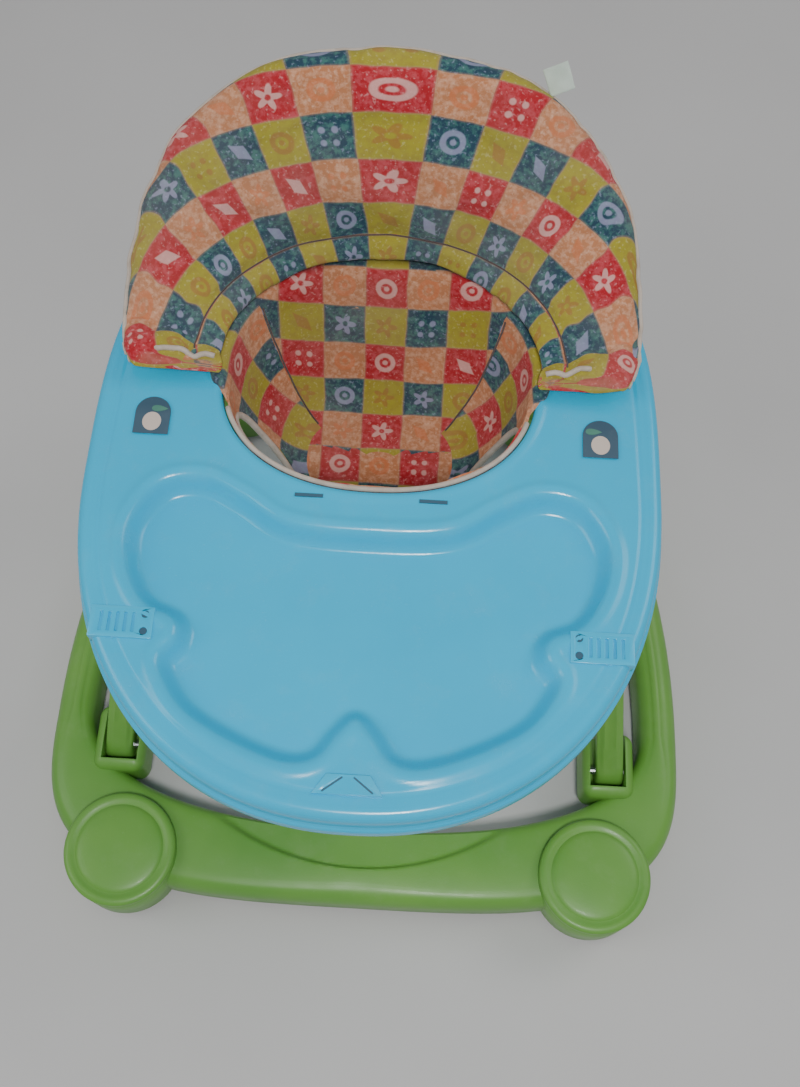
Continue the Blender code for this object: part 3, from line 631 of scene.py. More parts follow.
def signed_distance(points, outline):
    """Distance from points to a closed outline, negative inside it."""
    start, end = outline, np.roll(outline, -1, 0)
    run = end - start
    best = np.full(len(points), 1e9)
    inside = np.zeros(len(points), bool)
    for a, b, d in zip(start, end, run):
        share = np.clip(((points - a) @ d) / (d @ d), 0, 1)
        gap = np.hypot(*(points - a - share[:, None] * d).T)
        best = np.minimum(best, gap)
        crosses = (a[1] > points[:, 1]) != (b[1] > points[:, 1])
        with np.errstate(divide="ignore", invalid="ignore"):
            at = a[0] + (points[:, 1] - a[1]) / (b[1] - a[1]) * d[0]
        inside ^= crosses & (points[:, 0] < at)
    return np.where(inside, -best, best)


def deck_height(points):
    """Height of the tray's deck: a raised soft lip and the snack recess inside it."""
    gap = signed_distance(points, recess_outline())
    wall = smoothstep(np.clip((gap + 0.0160) / 0.0185, 0, 1) ** 1.35)
    lip = 0.0018 * np.exp(-((gap - 0.0080) / 0.0045) ** 2)
    puddle = -0.0007 * smoothstep((-gap - 0.02) / 0.05)
    return TRAY_DECK_Z - 0.0008 - RECESS_DEPTH * (1 - wall) + lip + puddle


def tray_shell():
    """The tray top in one surface: skirt, stepped rim, deck, recess and the collar round the seat."""
    count = 420
    angles = even_angles(tray_outline, count)
    rings = []

    def add_ring(outline, height):
        rings.append(np.column_stack([outline, np.broadcast_to(height, count)]))

    for inset, z in SKIRT:
        add_ring(tray_outline(angles, inset), z)
    for i in range(1, 9):
        turn = math.pi / 2 * i / 8
        add_ring(tray_outline(angles, RIM_INSET + RIM_RADIUS * (1 - math.cos(turn))),
                 RIM_START_Z + RIM_RADIUS * math.sin(turn))
    outer = tray_outline(angles, RIM_INSET + RIM_RADIUS)
    hole_angles = np.arctan2((outer[:, 1] - SEAT_Y) / 1.05, outer[:, 0])
    inner = seat_outline(hole_angles, COLLAR_RADIUS)
    for i in range(1, DECK_RINGS + 1):
        share = i / DECK_RINGS
        flat = outer * (1 - share) + inner * share
        from_rim = np.hypot(*(flat - outer).T)
        groove = -0.0010 * np.exp(-((from_rim - 0.011) / 0.0022) ** 2)
        start = 1 - smoothstep(from_rim / 0.006)
        height = deck_height(flat) * (1 - start) + TRAY_DECK_Z * start
        to_hole = np.hypot(*(flat - inner).T)
        lip = 0.0016 * np.exp(-(to_hole / 0.005) ** 2)
        add_ring(flat, height + groove + lip)
    for i in range(1, 7):
        turn = math.pi / 2 * i / 6
        add_ring(seat_outline(hole_angles, COLLAR_RADIUS * (1 - math.sin(turn))),
                 TRAY_DECK_Z + 0.0008 - COLLAR_RADIUS * (1 - math.cos(turn)))
    for grow, z in COLLAR:
        add_ring(seat_outline(hole_angles, grow), z)
    shell = sheet_of_rings("tray_shell", rings)
    normals_up(shell)
    install(paint(shell, BLUE), "tray", "tray_top")


def normals_up(obj):
    """Turns the faces of an open surface so that most of them look up."""
    total = sum(face.normal.z * face.area for face in obj.data.polygons)
    if total < 0:
        obj.data.flip_normals()


def toy_socket(name, side):
    """A ribbed socket plate in the deck, with two locating holes whose floors are dark discs of painted
    shade.
    """
    low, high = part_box(f"toy_socket_{name}")
    top = high.z + INSERT_LIFT
    plate = block(f"socket_{name}", (low.x, low.y, low.z), (high.x, high.y, top))
    mid_y = (low.y + high.y) / 2
    inner = high.x if side < 0 else low.x
    cutters, floors = [], []
    for i in range(5):
        x = inner + side * (0.017 + 0.0068 * i)
        cutters.append(block("rib_gap", (x - 0.0013, mid_y - 0.0085, top - 0.0035),
                             (x + 0.0013, mid_y + 0.0085, top + 0.01)))
    for offset in (-0.0075, 0.0075):
        middle = (inner + side * 0.0075, mid_y + offset)
        cutters.append(prism("locating_hole", circle(middle, 0.0033, 20), top - 0.009, top + 0.01))
        # Painted shade: a dark disc at each hole's bottom stands in for the darkness inside the hole
        floors.append(paint(prism("hole_floor", circle(middle, 0.0034, 20), top - 0.0080, top - 0.0007),
                            SHADOW))
    boolean(plate, cutters)
    paint(bevel(plate, 0.0007, 2, 50), BLUE)
    plate = sharpen(join(f"socket_{name}", [plate, *floors]), 40)
    install(plate, "tray", f"toy_socket_{name}")


def front_latch():
    """The latch plate in the rim: a trapezoid with two slanted slits, floored with painted shade."""
    low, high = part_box("latch_plate")
    top = high.z + 0.0006
    half, depth = (high.x - low.x) / 2, high.y - low.y
    mid = (low.x + high.x) / 2
    narrow = 0.62 * half
    outline = [(mid - half, low.y), (mid + half, low.y), (mid + narrow, high.y), (mid - narrow, high.y)]
    plate = prism("front_latch", outline, low.z, top, smooth=False)
    cutters, slit_shade_pieces = [], []
    for lean in (-1, 1):
        base = Vector((mid + lean * 0.72 * half, low.y + 0.002))
        tip = Vector((mid + lean * 0.16 * half, low.y + 0.86 * depth))
        across = (tip - base).orthogonal().normalized() * 0.0007
        slit = [base - across, base + across, tip + across, tip - across]
        cutters.append(prism("slit", slit, top - 0.002, top + 0.01, smooth=False))
        # Painted shade: a dark piece down in each slit stands in for the shade inside it
        slit_shade_pieces.append(paint(prism("slit_floor", slit, top - 0.003, top - 0.0006, smooth=False), SHADOW))
    boolean(plate, cutters)
    paint(bevel(plate, 0.0006, 2, 50), BLUE)
    plate = sharpen(join("front_latch", [plate, *slit_shade_pieces]), 40)
    install(plate, "tray", "latch_plate")


def sticker(name, side):
    """A small printed arch: navy ground, cream middle, and a leaf. Plain shapes only."""
    low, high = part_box(f"sticker_{name}")
    mid_x, width = (low.x + high.x) / 2, high.x - low.x
    z = high.z
    half = width / 2
    top = high.y - half
    arch = [(mid_x + half * math.cos(a), top + half * math.sin(a)) for a in np.linspace(0, math.pi, 24)]
    arch += [(mid_x - half, low.y), (mid_x + half, low.y)]
    oval = [(mid_x + 0.0085 * math.cos(a), low.y + 0.0125 + 0.0095 * math.sin(a))
            for a in np.linspace(0, 2 * math.pi, 28, endpoint=False)]
    leaf = [(mid_x - side * 0.006 + 0.0075 * math.cos(a),
             high.y - 0.012 + 0.0042 * math.sin(a) * math.sin(a / 2))
            for a in np.linspace(0, 2 * math.pi, 24, endpoint=False)]
    piece = join(f"deck_sticker_{name}", [paint(prism("ground", arch, z - 0.0002, z + 0.0004), DARK_PRINT),
                                          paint(prism("middle", oval, z + 0.0003, z + 0.0007), PALE_PRINT),
                                          paint(prism("leaf", leaf, z + 0.0003, z + 0.0007), LEAF_PRINT)])
    face_outwards(piece)
    sharpen(piece)
    install(piece, "tray", f"sticker_{name}")


# ---- base and legs

BASE_TOP, BASE_BOTTOM, BASE_WALL = 0.0620, 0.0120, 0.003
CREST_FLOOR = 0.0560               # height of the crescent rest pressed into the front bar
CREST_CENTRE_Y, CREST_RADIUS = -0.046, 0.260
POD_RADIUS = {"front": 0.057, "rear": 0.044}
OUTER_FOOT_X = 0.262
LEG_FOOT_DEPTH, LEG_TOP_DEPTH = 0.0148, 0.0123


def base_outline(angles):
    return egg(0.337, 0.193, 0.511, -0.150, 3.5, 2.1, angles)


def base_inner_outline(angles):
    return egg(0.297, 0.118, 0.469, -0.150, 2.3, 2.1, angles)


def base_section(width):
    """The ring's wall in section, outside and then inside, as (distance inwards, height) pairs."""
    outer = [(0.0025, BASE_BOTTOM), (0.0, BASE_BOTTOM + 0.003), (0.0, BASE_TOP - 0.022)]
    for turn in np.linspace(0.15, math.pi / 2, 7):
        outer.append((0.018 * (1 - math.cos(turn)), BASE_TOP - 0.020 + 0.0185 * math.sin(turn)))
    for share in np.linspace(0, 1, 34)[1:-1]:
        crown = 0.0015 * math.sin(math.pi * share) ** 0.7
        outer.append((0.018 + (width - 0.031) * share, BASE_TOP - 0.0015 + crown))
    for turn in np.linspace(math.pi / 2, 0.15, 7):
        outer.append((width - 0.013 * (1 - math.cos(turn)), BASE_TOP - 0.0165 + 0.0150 * math.sin(turn)))
    outer += [(width, BASE_BOTTOM + 0.003), (width - 0.001, BASE_BOTTOM)]
    roof = BASE_TOP - 0.006
    hollow = [(width - BASE_WALL, BASE_BOTTOM), (width - BASE_WALL, BASE_TOP - 0.018), (width - 0.013, roof)]
    hollow += [(width - 0.013 - (width - 0.031) * share, roof) for share in np.linspace(0, 1, 12)[1:]]
    hollow += [(BASE_WALL, BASE_TOP - 0.022), (BASE_WALL, BASE_BOTTOM)]
    return outer, hollow


def base_shell():
    """The ring: a crowned channel, open underneath, with wheel pods, a crescent rest and leg pockets."""
    angles = even_angles(base_outline, 460)
    rings = []
    for start, end in zip(base_outline(angles), base_inner_outline(angles)):
        step = end - start
        width = float(np.hypot(*step))
        step = step / width
        outer, hollow = base_section(width)
        rings.append(crescent(outer, start, step, CREST_FLOOR)
                     + crescent(hollow, start, step, CREST_FLOOR - BASE_WALL))
    ring = sheet_of_rings("base_shell", rings, wrap_rows=True)
    pods, cutters = [], []
    for name, _ in SIDES:
        for place, radius in POD_RADIUS.items():
            centre = (*box_middle(f"{place}_wheel_cap_{name}"), 0)
            wall = [(radius - 0.0012, 0.012), (radius, 0.0135), (radius, 0.0640), (radius - 0.0015, 0.0658)]
            pods.append(turned("pod", centre, wall))
            cutters.append(turned("cavity", centre, [(radius - 0.003, 0.0), (radius - 0.003, 0.0620)]))
    boolean(ring, pods, "UNION")
    for _, side in SIDES:
        cutters.append(block("pocket", (side * 0.2782, -0.2108, 0.036), (side * 0.2395, -0.150, 0.1)))
    boolean(ring, cutters)
    fill = []
    for name, side in SIDES:
        fill += [foot_bracket(side), *pod_bosses(name)]
    piece = sharpen(join("base_moulding", [ring, *fill]), 40)
    install(paint(piece, GREEN), "base", "base_ring")


def crescent(section, start, step, floor):
    """Presses the crescent rest into a section of the front bar."""
    points = []
    for along, height in section:
        x, y = start + step * along
        gap = math.hypot(x, y - CREST_CENTRE_Y) - CREST_RADIUS
        left = float(smoothstep(gap / 0.0035))
        if height > floor:
            height = floor + (height - floor) * left
        points.append((x, y, height))
    return points


def foot_bracket(side):
    """The ears that hold an outer leg's foot pin."""
    bracket = block("bracket", (side * 0.2325, -0.222, 0.012), (side * 0.287, -0.152, 0.0695))
    bevel(bracket, 0.0120, 6, 50)
    pocket = block("pocket", (side * (OUTER_FOOT_X + 0.0154), -0.2105, 0.036),
                   (side * (OUTER_FOOT_X - 0.022), -0.10, 0.1))
    return bevel(boolean(bracket, [pocket]), 0.0010, 2, 50)


def pod_bosses(name):
    """Inside the pods of one side: the boss round the caster's stem and two ribs beside the rear wheel."""
    profile = [(0.0043, 0.0555), (0.010, 0.0555), (0.010, 0.0630), (0.0043, 0.0630)]
    pieces = [turned("boss", (*box_middle(f"caster_stem_{name}"), 0), profile, 32, closed=True)]
    low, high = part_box(f"rear_wheel_{name}")
    mid = (low + high) / 2
    for face in (-1, 1):
        rib_x = mid.x + face * 0.0115
        rib = block("rib", (rib_x - 0.0025, mid.y - 0.012, 0.016), (rib_x + 0.0025, mid.y + 0.012, 0.064))
        pieces.append(bevel(rib, 0.0012, 2))
    return pieces


def wheel_caps():
    """Soft domes with a raised rim over the wheels."""
    for place in POD_RADIUS:
        for name, _ in SIDES:
            low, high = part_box(f"{place}_wheel_cap_{name}")
            centre, radius, rise = (low + high) / 2, (high.x - low.x) / 2, high.z - low.z
            profile = [(0.8 * radius, 0), (radius - 0.0008, 0), (radius, 0.0008), (radius, 0.0036)]
            for turn in np.linspace(0.2, math.pi / 2, 6):
                profile.append((radius - 0.006 + 0.006 * math.cos(turn), 0.0040 + 0.0040 * math.sin(turn)))
            profile += [(radius - 0.0085, 0.0076), (radius - 0.0105, 0.0066), (radius - 0.0125, 0.0066)]
            dome = radius - 0.0135
            for share in np.linspace(1, 0.04, 14):
                profile.append((dome * share, 0.0068 + (rise - 0.0068) * math.sqrt(1 - (share * 0.985) ** 2)))
            cap = turned(f"{place}_cap_{name}", (centre.x, centre.y, low.z), profile, 120)
            install(paint(cap, GREEN), "base", f"{place}_wheel_cap_{name}")


def leg(name, node, foot_x, top_x, foot_half, top_half, rising):
    """A moulded leg: rounded ends, soft edges and long flutes along its upper face."""
    low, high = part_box(node)
    front, back = low.y + 0.015, high.y - 0.0125
    foot = Vector((foot_x, front if rising else back, low.z + 0.015))
    top = Vector((top_x, back if rising else front, high.z - 0.0125))
    run = Vector((0, top.y - foot.y, top.z - foot.z))
    length = run.length
    run /= length
    up = Vector((0, -run.z, run.y))
    if up.z < 0:
        up = -up
    rings = []
    stations = [-LEG_FOOT_DEPTH * math.cos(a) for a in np.linspace(0.12, math.pi / 2, 9)]
    stations += list(np.linspace(0, length, 60)[1:-1])
    stations += [length + LEG_TOP_DEPTH * math.sin(a) for a in np.linspace(0, math.pi / 2 - 0.12, 9)]
    for reach in stations:
        share = min(max(reach / length, 0), 1)
        depth = LEG_FOOT_DEPTH + (LEG_TOP_DEPTH - LEG_FOOT_DEPTH) * share
        if reach < 0:
            depth = math.sqrt(max(LEG_FOOT_DEPTH ** 2 - reach ** 2, 1e-9))
        if reach > length:
            depth = math.sqrt(max(LEG_TOP_DEPTH ** 2 - (reach - length) ** 2, 1e-9))
        half = foot_half + (top_half - foot_half) * share
        half *= 1 - 0.25 * (1 - min(1.0, depth / LEG_TOP_DEPTH)) ** 2
        x = foot_x + (top_x - foot_x) * share
        flute = 0.0026 * float(smoothstep(reach / 0.02)) * float(smoothstep((length - reach) / 0.02))
        ring = []
        for i in range(48):
            angle = 2 * math.pi * i / 48
            c, s = math.cos(angle), math.sin(angle)
            px, py = power_of(c, 0.42) * half, power_of(s, 0.42) * depth
            if s > 0.3:
                py -= flute * (math.cos(px / half * 2.5 * math.pi) * 0.5 + 0.5) * (1 - abs(px / half) ** 6)
            ring.append(Vector((x + px, foot.y, foot.z)) + run * reach + up * py)
        rings.append(ring)
    return sharpen(sheet_of_rings(name, rings, caps=True), 50)


def legs():
    shapes = (("outer", OUTER_FOOT_X, 0.222, 0.0148, 0.0118), ("inner", 0.188, 0.176, 0.0079, 0.0079))
    for name, side in SIDES:
        for kind, foot_x, top_x, foot_half, top_half in shapes:
            node = f"{kind}_leg_{name}"
            piece = leg(f"{kind}_leg_moulding_{name}", node, side * foot_x, side * top_x, foot_half,
                        top_half, kind == "outer")
            install(paint(piece, GREEN), f"{kind}_legs", node)


def wheels():
    """Wheels with a rounded tread, a recessed side and a hub."""
    for place, body in (("caster_wheel", "front_wheel"), ("rear_wheel", "rear_wheel")):
        for name, _ in SIDES:
            low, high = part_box(f"{place}_{name}")
            centre, radius, half = (low + high) / 2, (high.z - low.z) / 2, (high.x - low.x) / 2
            upper = [(0.0028, half), (0.0062, half), (0.0068, half - 0.0006), (0.0072, half - 0.003),
                     (radius - 0.0065, half - 0.003), (radius - 0.0058, half - 0.0008),
                     (radius - 0.0030, half - 0.0008)]
            upper += [(radius - 0.0030 + 0.0030 * math.sin(a), half - 0.0038 + 0.0030 * math.cos(a))
                      for a in np.linspace(0.2, math.pi / 2, 5)]
            profile = upper + [(r, -h) for r, h in reversed(upper)]
            wheel = turned(f"{place}_moulding_{name}", centre, profile, 72, "X", closed=True)
            install(paint(wheel, RUBBER), f"{body}_{name}", f"{place}_{name}")


# ---- seat

BACK_REACH = math.radians(108)
SLING_TOP = 0.366
SLING_DEPTH = 0.146
SLING_WALL = 0.0032
SLING_ROWS = 35                    # rows of faces from the lapped edge to the edge of the bottom
ROLL_RADIUS = 0.0165               # of the fat roll along the back's rim
HELD_FROM, HELD_FOOT = 40, 0.012   # the simulation holds the rear face, from this point on, and the foot
SLING_POINTS = 200                 # points round one ring of the sling
HOLE_POINTS = 96
TAG_HALF, TAG_STEPS = 0.0165, 16   # half a diagonal of the ribbon diamond, and its grid
SIDE_FROM, SIDE_TO = 54, 128       # the side panels, in degrees from the rear
PATCH_RADIUS = 0.185               # radius at which the printed squares keep their true width
SEAM_AT = 0.026                    # how far above the foot the cushion's lower seam runs
BAND_ROWS = 6                      # rows of faces below that seam


def back_frame(turn):
    """Foot and rim of the padded back at an angle from the rear, with its section's two axes."""
    x, y = math.sin(turn), math.cos(turn)
    full_x, full_y = math.copysign(abs(x) ** 0.8, x), max(0.0, y) ** 0.8
    foot = Vector((0.148 * x, SEAT_Y + 0.006 + (0.124 if y > 0 else 0.030) * y, TRAY_DECK_Z + 0.0140))
    reach = 0.183 * full_y if y > 0 else 0.10 * y
    rim = Vector((0.225 * full_x, 0.112 + reach, 0.388 + 0.1555 * full_y ** 1.2))
    run = (rim - foot).normalized()
    out = Vector((x, y, 0))
    behind = (out - run * out.dot(run)).normalized()
    if behind.z > 0:
        behind = -behind
    return foot, rim, run, behind


def back_section(turn):
    """A closed section: thin at the foot, a sewn groove above it, swelling to a fat roll along the rim."""
    foot, rim, run, behind = back_frame(turn)
    lip = (rim - foot).length - 0.004
    path = []
    upper = lip - ROLL_RADIUS * 0.6
    stops = [*np.linspace(0.0, SEAM_AT, BAND_ROWS + 1), *np.linspace(SEAM_AT, upper, 26 - BAND_ROWS)[1:]]
    for along in stops:
        share = along / upper
        swell = 0.0085 + 0.006 * math.sin(math.pi * share) ** 0.8 + 0.004 * share
        swell -= 0.0050 * math.exp(-((along - SEAM_AT) / 0.0050) ** 2)
        swell -= 0.0030 * math.exp(-((upper - along - 0.030) / 0.0060) ** 2)
        path.append((along, -swell))
    for angle in np.linspace(-math.pi / 2 + 0.25, math.pi / 2 - 0.25, 14):
        path.append((lip + ROLL_RADIUS * math.cos(angle) - 0.001, ROLL_RADIUS * math.sin(angle)))
    for share in np.linspace(1.0, 0.0, 13):
        path.append((share * (lip - ROLL_RADIUS * 0.8), 0.0085 + 0.004 * share))
    return [foot + run * along + behind * off for along, off in path], path


def end_taper(turn):
    """1 along the back, falling off close to the two free ends."""
    left = (BACK_REACH - abs(turn)) / math.radians(10)
    return math.sqrt(max(0.0, 1 - (1 - min(1.0, left)) ** 2))


def shift_band(pad, count, rows):
    """Moves the print of the band under the lower seam by one row, as a separately cut piece has it."""
    layer = pad.data.uv_layers["cloth"]
    for face in pad.data.polygons:
        if len(face.vertices) == 4 and face.index % count < rows:
            for index in face.loop_indices:
                u, v = layer.data[index].uv
                layer.data[index].uv = (u, v - PATCH)


def seat_back():
    """The padded back, with its sewn seams and bound ends."""
    stations = 210
    rings, coords, held = [], [], []
    for i in range(stations):
        turn = BACK_REACH * 0.999 * (2 * i / (stations - 1) - 1)
        ring, path = back_section(turn)
        taper = end_taper(turn)
        foot, rim, _, behind = back_frame(turn)
        middle = foot.lerp(rim, 0.55)
        shaped, coord = [], []
        reach = -SEAM_AT
        previous = path[0]
        for k, (point, (along, off)) in enumerate(zip(ring, path)):
            local = point - middle
            deep = behind * local.dot(behind)
            point = middle + (local - deep) * (0.92 + 0.08 * taper) + deep * (0.35 + 0.65 * taper)
            point.z = max(point.z, TRAY_DECK_Z + 0.0022)
            shaped.append(point)
            reach += math.hypot(along - previous[0], off - previous[1])
            previous = (along, off)
            coord.append((turn * PATCH_RADIUS, reach))
            if k >= HELD_FROM or along < HELD_FOOT:
                held.append(1.0)
            else:
                held.append(0.5 if abs(along - SEAM_AT) < 0.006 else 0.0)
        rings.append(shaped)
        coords.append(coord)
    pad = sheet_of_rings("seat_back_cushion", rings, caps=True, uv=coords)
    shift_band(pad, len(rings[0]), BAND_ROWS)
    puff(pad, 3.0, 0.006, held)
    wrinkle(pad, 0.0017, 0.0006)
    subdivide(pad)
    install(paint(pad, PATCHES), "tray", "seat_back_pad")
    for name, side in SIDES:
        end = rings[-3 if side > 0 else 2]
        edge = on_surface(pad, end[2:36], 0.0008)
        bound = tube(f"wing_binding_{name}", edge, 0.0026, closed=False)
        install(paint(bound, BINDING), "tray")
    back_piping(pad)


def on_surface(obj, path, lift):
    """The path laid onto the nearest surface of an object, a little above it."""
    tree = BVHTree.FromPolygons([v.co for v in obj.data.vertices], [f.vertices for f in obj.data.polygons])
    laid = []
    for point in path:
        place, normal, _, _ = tree.find_nearest(point)
        laid.append(place + normal * lift)
    return laid


def wrinkle(obj, large, small):
    """Soft creases: sums of slanted waves, the same each run."""
    def amount(co):
        x, y, z = co.T
        long = np.sin(58 * x + 31 * y + 44 * z + 2.1 * np.sin(23 * y + 17 * z))
        short = np.sin(143 * y - 97 * x + 61 * z + 1.7 * np.sin(51 * x - 37 * z))
        return large * long * np.abs(short) ** 0.5 + small * short
    return displace(obj, amount)


def back_piping(pad):
    """Cream piping along the top of the roll, and dark thread in the lower seam."""
    rim_path, seam_path = [], []
    for share in np.linspace(-1, 1, 160):
        foot, rim, run, behind = back_frame(BACK_REACH * 0.94 * share)
        rim_path.append(rim + run * 0.0105 + behind * 0.0085)
        foot, rim, run, behind = back_frame(BACK_REACH * 0.90 * share)
        seam_path.append(foot + run * SEAM_AT - behind * 0.0085)
    for name, path, lift, radius, look in (("rim_piping", rim_path, 0.0008, 0.0021, BINDING),
                                           ("seam_thread", seam_path, 0.0002, 0.0008, THREAD)):
        cord = tube(name, on_surface(pad, path, lift), radius, closed=False)
        install(paint(cord, look), "tray")


def sling_point(angle, share, wall=0.0):
    """A point of the sling: share runs from 0 at the rim to 1 at the edge of the bottom."""
    x, y = math.cos(angle), math.sin(angle)
    rear, front = max(0.0, y) ** 2, max(0.0, -y) ** 3
    steep = 1.30 + 0.9 * front - 0.25 * rear
    power = 2.4 if y > 0 else 2.2
    across, ahead = power_of(x, 2 / power), power_of(y, 2 / power)
    depth = (0.122 if y > 0 else 0.110) - wall
    rim = Vector((across * (0.142 - wall), SEAT_Y + ahead * depth))
    bottom = Vector((across * (0.072 - wall), 0.078 + ahead * ((0.053 if y > 0 else 0.050) - wall)))
    place = rim.lerp(bottom, share ** steep)
    return Vector((place.x, place.y, SLING_TOP - SLING_DEPTH * math.sin(share * math.pi / 2)))


def sling_top(angle, grow, height):
    """A point above the rim, where the cloth laps over the collar's lip behind and beside the seat."""
    wrap = float(smoothstep((math.sin(angle) + 0.22) / 0.22))
    point = sling_point(angle, 0.0)
    out = Vector((math.cos(angle), math.sin(angle), 0))
    return point + out * (grow * wrap) + Vector((0, 0, height * wrap))


def sling_panel(angle, row, y):
    """Which panel a face of the sling is cut from: 0 the back, 1 a side, 2 the front and bottom."""
    from_rear = abs((math.degrees(angle) + 90) % 360 - 180)
    if SIDE_FROM < from_rear < SIDE_TO and row < SLING_ROWS - 3:
        return 1
    return 2 if from_rear >= SIDE_TO or y < 0.092 else 0


def sling_layers(angles):
    """The rings of the sling's two layers, from the lapped edge down to the middle of the bottom."""
    lap = ((0.0155, 0.0066), (0.0110, 0.0080), (0.0060, 0.0092), (0.0020, 0.0080), (0.0004, 0.0040))
    outer = [[sling_top(a, grow, height - 0.0016) for a in angles] for grow, height in lap]
    inner = [[sling_top(a, grow - 0.0010, height + 0.0010) for a in angles] for grow, height in lap]
    for share in np.linspace(0, 1, 30):
        outer.append([sling_point(a, share) for a in angles])
        inner.append([sling_inside(a, share) for a in angles])
    for rows, lift in ((outer, 0.0), (inner, SLING_WALL)):
        middle = Vector((0, 0.080, SLING_TOP - SLING_DEPTH - 0.006 + lift))
        edge = rows[-1]
        for share in (0.25, 0.5, 0.75, 0.93):
            rows.append([point.lerp(middle, share) for point in edge])
    return outer, inner


def sling_inside(angle, share, depth=SLING_WALL):
    """A point of the sling some way through its wall."""
    return sling_point(angle, share, depth) + Vector((0, 0, depth * share))


def finish_sling(cloth, bottom):
    """Closes the bottom of both layers, bottom rings down, and marks each face with its panel."""
    bm = bmesh.new()
    bm.from_mesh(cloth.data)
    bridge = [f for f in bm.faces if {v.index // SLING_POINTS for v in f.verts} == {bottom - 1, bottom}]
    bmesh.ops.delete(bm, geom=bridge, context="FACES_ONLY")
    bmesh.ops.holes_fill(bm, edges=[e for e in bm.edges if e.is_boundary], sides=0)
    bmesh.ops.recalc_face_normals(bm, faces=bm.faces)
    for face in bm.faces:
        rows = [vertex.index // SLING_POINTS for vertex in face.verts]
        row = min(rows) if max(rows) < bottom else 2 * bottom - 1 - max(rows)
        column = min(vertex.index % SLING_POINTS for vertex in face.verts)
        angle = 2 * math.pi * (column + 0.5) / SLING_POINTS
        face.material_index = sling_panel(angle, row, face.calc_center_median().y)
    bm.to_mesh(cloth.data)
    bm.free()
    for _ in range(3):
        cloth.data.materials.append(PATCHES)


def print_sling(cloth):
    """Lays the printed squares on each panel: the back, the sides, and the front with the bottom."""
    layer = cloth.data.uv_layers.new(name="cloth")
    for face in cloth.data.polygons:
        for index in face.loop_indices:
            x, y, z = cloth.data.vertices[cloth.data.loops[index].vertex_index].co
            drop = SLING_TOP + 0.004 - z
            down = -(0.6 * drop + 0.210 - y)
            if face.material_index == 0:
                layer.data[index].uv = (x, down)
            elif face.material_index == 1:
                layer.data[index].uv = (math.copysign(0.115 + 0.155 - y, x), -drop)
            else:
                layer.data[index].uv = (x + PATCH, down - PATCH)
        face.material_index = 0


def leg_hole(side):
    """The cutter of one leg hole, and the path along its edge."""
    near, far, edge = [], [], []
    out = Vector((side * 0.72, -0.68, -0.12)).normalized()
    for i in range(HOLE_POINTS):
        along = 2 * math.pi * i / HOLE_POINTS
        angle = -math.pi / 2 + side * math.radians(55 + 31 * power_of(math.cos(along), 0.8))
        share = 0.41 + 0.36 * power_of(math.sin(along), 0.8)
        point = sling_point(angle, share)
        near.append(point - out * 0.024)
        far.append(point + out * 0.024)
        edge.append(sling_inside(angle, share, SLING_WALL / 2))
    return sheet_of_rings("leg_cut", [near, far], caps=True), edge


def sling():
    """The fabric bucket: two layers, lapped over the collar behind, with bound leg holes and creases."""
    outer, inner = sling_layers([2 * math.pi * (i + 0.5) / SLING_POINTS for i in range(SLING_POINTS)])
    cloth = sheet_of_rings("seat_sling_cloth", outer + inner[::-1], wrap_rows=True)
    finish_sling(cloth, len(outer))
    cutters, trims = [], []
    for name, side in SIDES:
        cutter, edge = leg_hole(side)
        cutters.append(cutter)
        trims.append(paint(tube(f"leg_binding_{name}", edge, 0.0032, 10), BINDING))
    boolean(cloth, cutters)
    print_sling(cloth)
    sharpen(cloth, 60)
    wrinkle(cloth, 0.0013, 0.0005)
    install(paint(cloth, PATCHES), "tray", "seat_sling")
    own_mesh(cloth)
    for name, side in SIDES:
        angle = math.pi / 2 - side * math.radians(SIDE_FROM)
        path = [sling_inside(angle, share) for share in np.linspace(0.0, 0.88, 40)]
        seam = tube(f"side_seam_{name}", on_surface(cloth, path, 0.0002), 0.0010, 6, False)
        trims.append(paint(seam, THREAD))
    front = [sling_top(math.radians(a), 0.0, 0.0) + Vector((0, 0, 0.0008)) for a in np.linspace(196, 344, 70)]
    trims.append(paint(tube("front_binding", front, 0.0024, 8, False), BINDING))
    for piece in trims:
        install(piece, "tray")
        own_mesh(piece)


def care_tag():
    """A blank ribbon diamond, caught in the rim of the back."""
    _, rim, run, behind = back_frame(math.radians(31))
    along = run.cross(behind)
    centre = rim + run * 0.0275 + behind * 0.0015
    rings, coords = [], []
    for i in range(TAG_STEPS + 1):
        ring, coord = [], []
        for j in range(TAG_STEPS + 1):
            a, b = 2 * i / TAG_STEPS - 1, 2 * j / TAG_STEPS - 1
            x, y = (a + b) / 2, (a - b) / 2
            wave = 0.0009 * math.sin(3 * x + 1.2) * math.cos(2 * y)
            ring.append(centre + along * (TAG_HALF * x) + run * (TAG_HALF * y) + behind * wave)
            coord.append((a * 0.012, b * 0.012))
        rings.append(ring)
        coords.append(coord)
    tag = sheet_of_rings("care_tag", rings, wrap_ring=False, uv=coords)
    solid = tag.modifiers.new("thick", "SOLIDIFY")
    solid.thickness = 0.0007
    solid.offset = 0
    apply_modifiers(tag)
    install(paint(tag, RIBBON), "tray", "care_label")


# ---- stage

# Each light's name, place, size in metres and power in watts
LIGHTS = (("key", (0.15, -1.05, 2.25), 0.35, 27.0), ("left", (-1.9, -0.4, 1.9), 1.2, 12.0),
          ("right", (1.8, 0.7, 2.0), 1.2, 12.0))


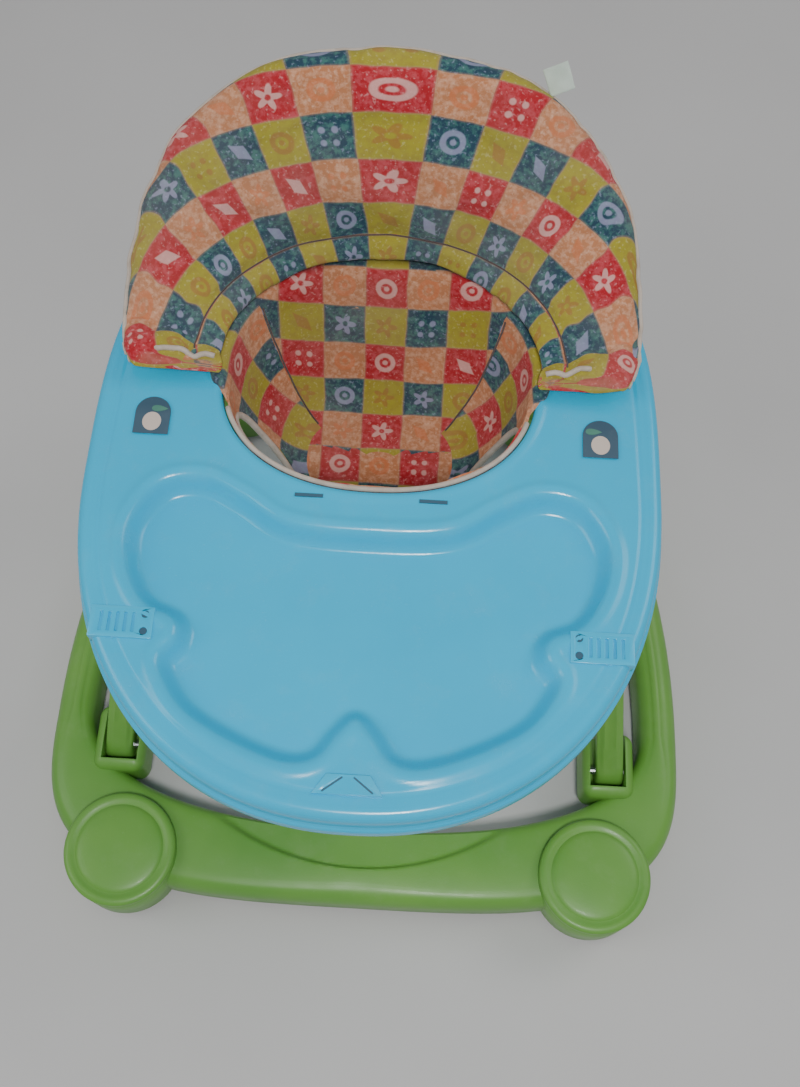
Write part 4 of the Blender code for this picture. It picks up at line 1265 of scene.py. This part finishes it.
def stage():
    """A plain pale floor, a dim sky and three soft lights."""
    bpy.ops.mesh.primitive_plane_add(size=60.0, location=(0, 0, 0))
    floor = bpy.context.object
    floor.name = "floor"
    n = Nodes("pale_floor")
    tone = n.noise(n.place(), 3.0, 5.0)
    n.shade("Base Color", n.mix(tone, rgb(0.52, 0.51, 0.50), rgb(0.60, 0.59, 0.58)))
    n.shade("Roughness", 0.8)
    paint(floor, n.material)
    world = bpy.data.worlds.new("studio")
    world.use_nodes = True
    background = world.node_tree.nodes["Background"]
    background.inputs["Color"].default_value = rgb(0.95, 0.97, 1.0)
    background.inputs["Strength"].default_value = 0.38
    bpy.context.scene.world = world
    for name, place, size, power in LIGHTS:
        light = bpy.data.lights.new(name, "AREA")
        light.size = size
        light.energy = power
        lamp = add_to_scene(bpy.data.objects.new(name, light))
        lamp.location = place
        aim = Vector((0, 0, 0.3)) - Vector(place)
        lamp.rotation_euler = aim.to_track_quat("-Z", "Y").to_euler()


def camera():
    """High and in front, leaning a little, as the walker is usually seen."""
    azimuth, elevation, roll = (math.radians(angle) for angle in (1.31, 66.14, 1.97))
    distance = 1.10549
    target = Vector((0.02702, -0.04733, 0.300))
    back = Vector((math.sin(azimuth) * math.cos(elevation), -math.cos(azimuth) * math.cos(elevation),
                   math.sin(elevation)))
    ahead = -back
    right = ahead.cross(Vector((0, 0, 1))).normalized()
    up = right.cross(ahead)
    right, up = right * math.cos(roll) + up * math.sin(roll), up * math.cos(roll) - right * math.sin(roll)
    data = bpy.data.cameras.new("camera")
    data.sensor_width = 36.0
    data.lens = 39.30
    view = add_to_scene(bpy.data.objects.new("camera", data))
    turn = Matrix((right, up, back)).transposed().to_4x4()
    view.matrix_world = Matrix.Translation(target + back * distance) @ turn
    bpy.context.scene.camera = view


def dress_nodes():
    """Materials for the CAD pieces that stay as they are; the seat clips get painted shade, to show as dark
    slits.
    """
    looks = {"steel": STEEL, "green_plastic": GREEN, "blue_plastic": BLUE, "grey_plastic": GREY,
             "rubber": RUBBER, "patchwork": PATCHES, "sticker": DARK_PRINT, "label": RIBBON}
    for row in frame["record"]["subparts"]:
        # Painted shade: the seat clips are painted dark so that they read as shaded slits
        clip = row["node"].startswith("seat_clip")
        sharpen(paint(NODES[row["node"]], SHADOW if clip else looks[row["material_slot"]]), 35)


dress_nodes()
camera()
stage()
tray_shell()
for side_name, side_sign in SIDES:
    toy_socket(side_name, side_sign)
    sticker(side_name, side_sign)
front_latch()
base_shell()
wheel_caps()
legs()
wheels()
seat_back()
sling()
care_tag()
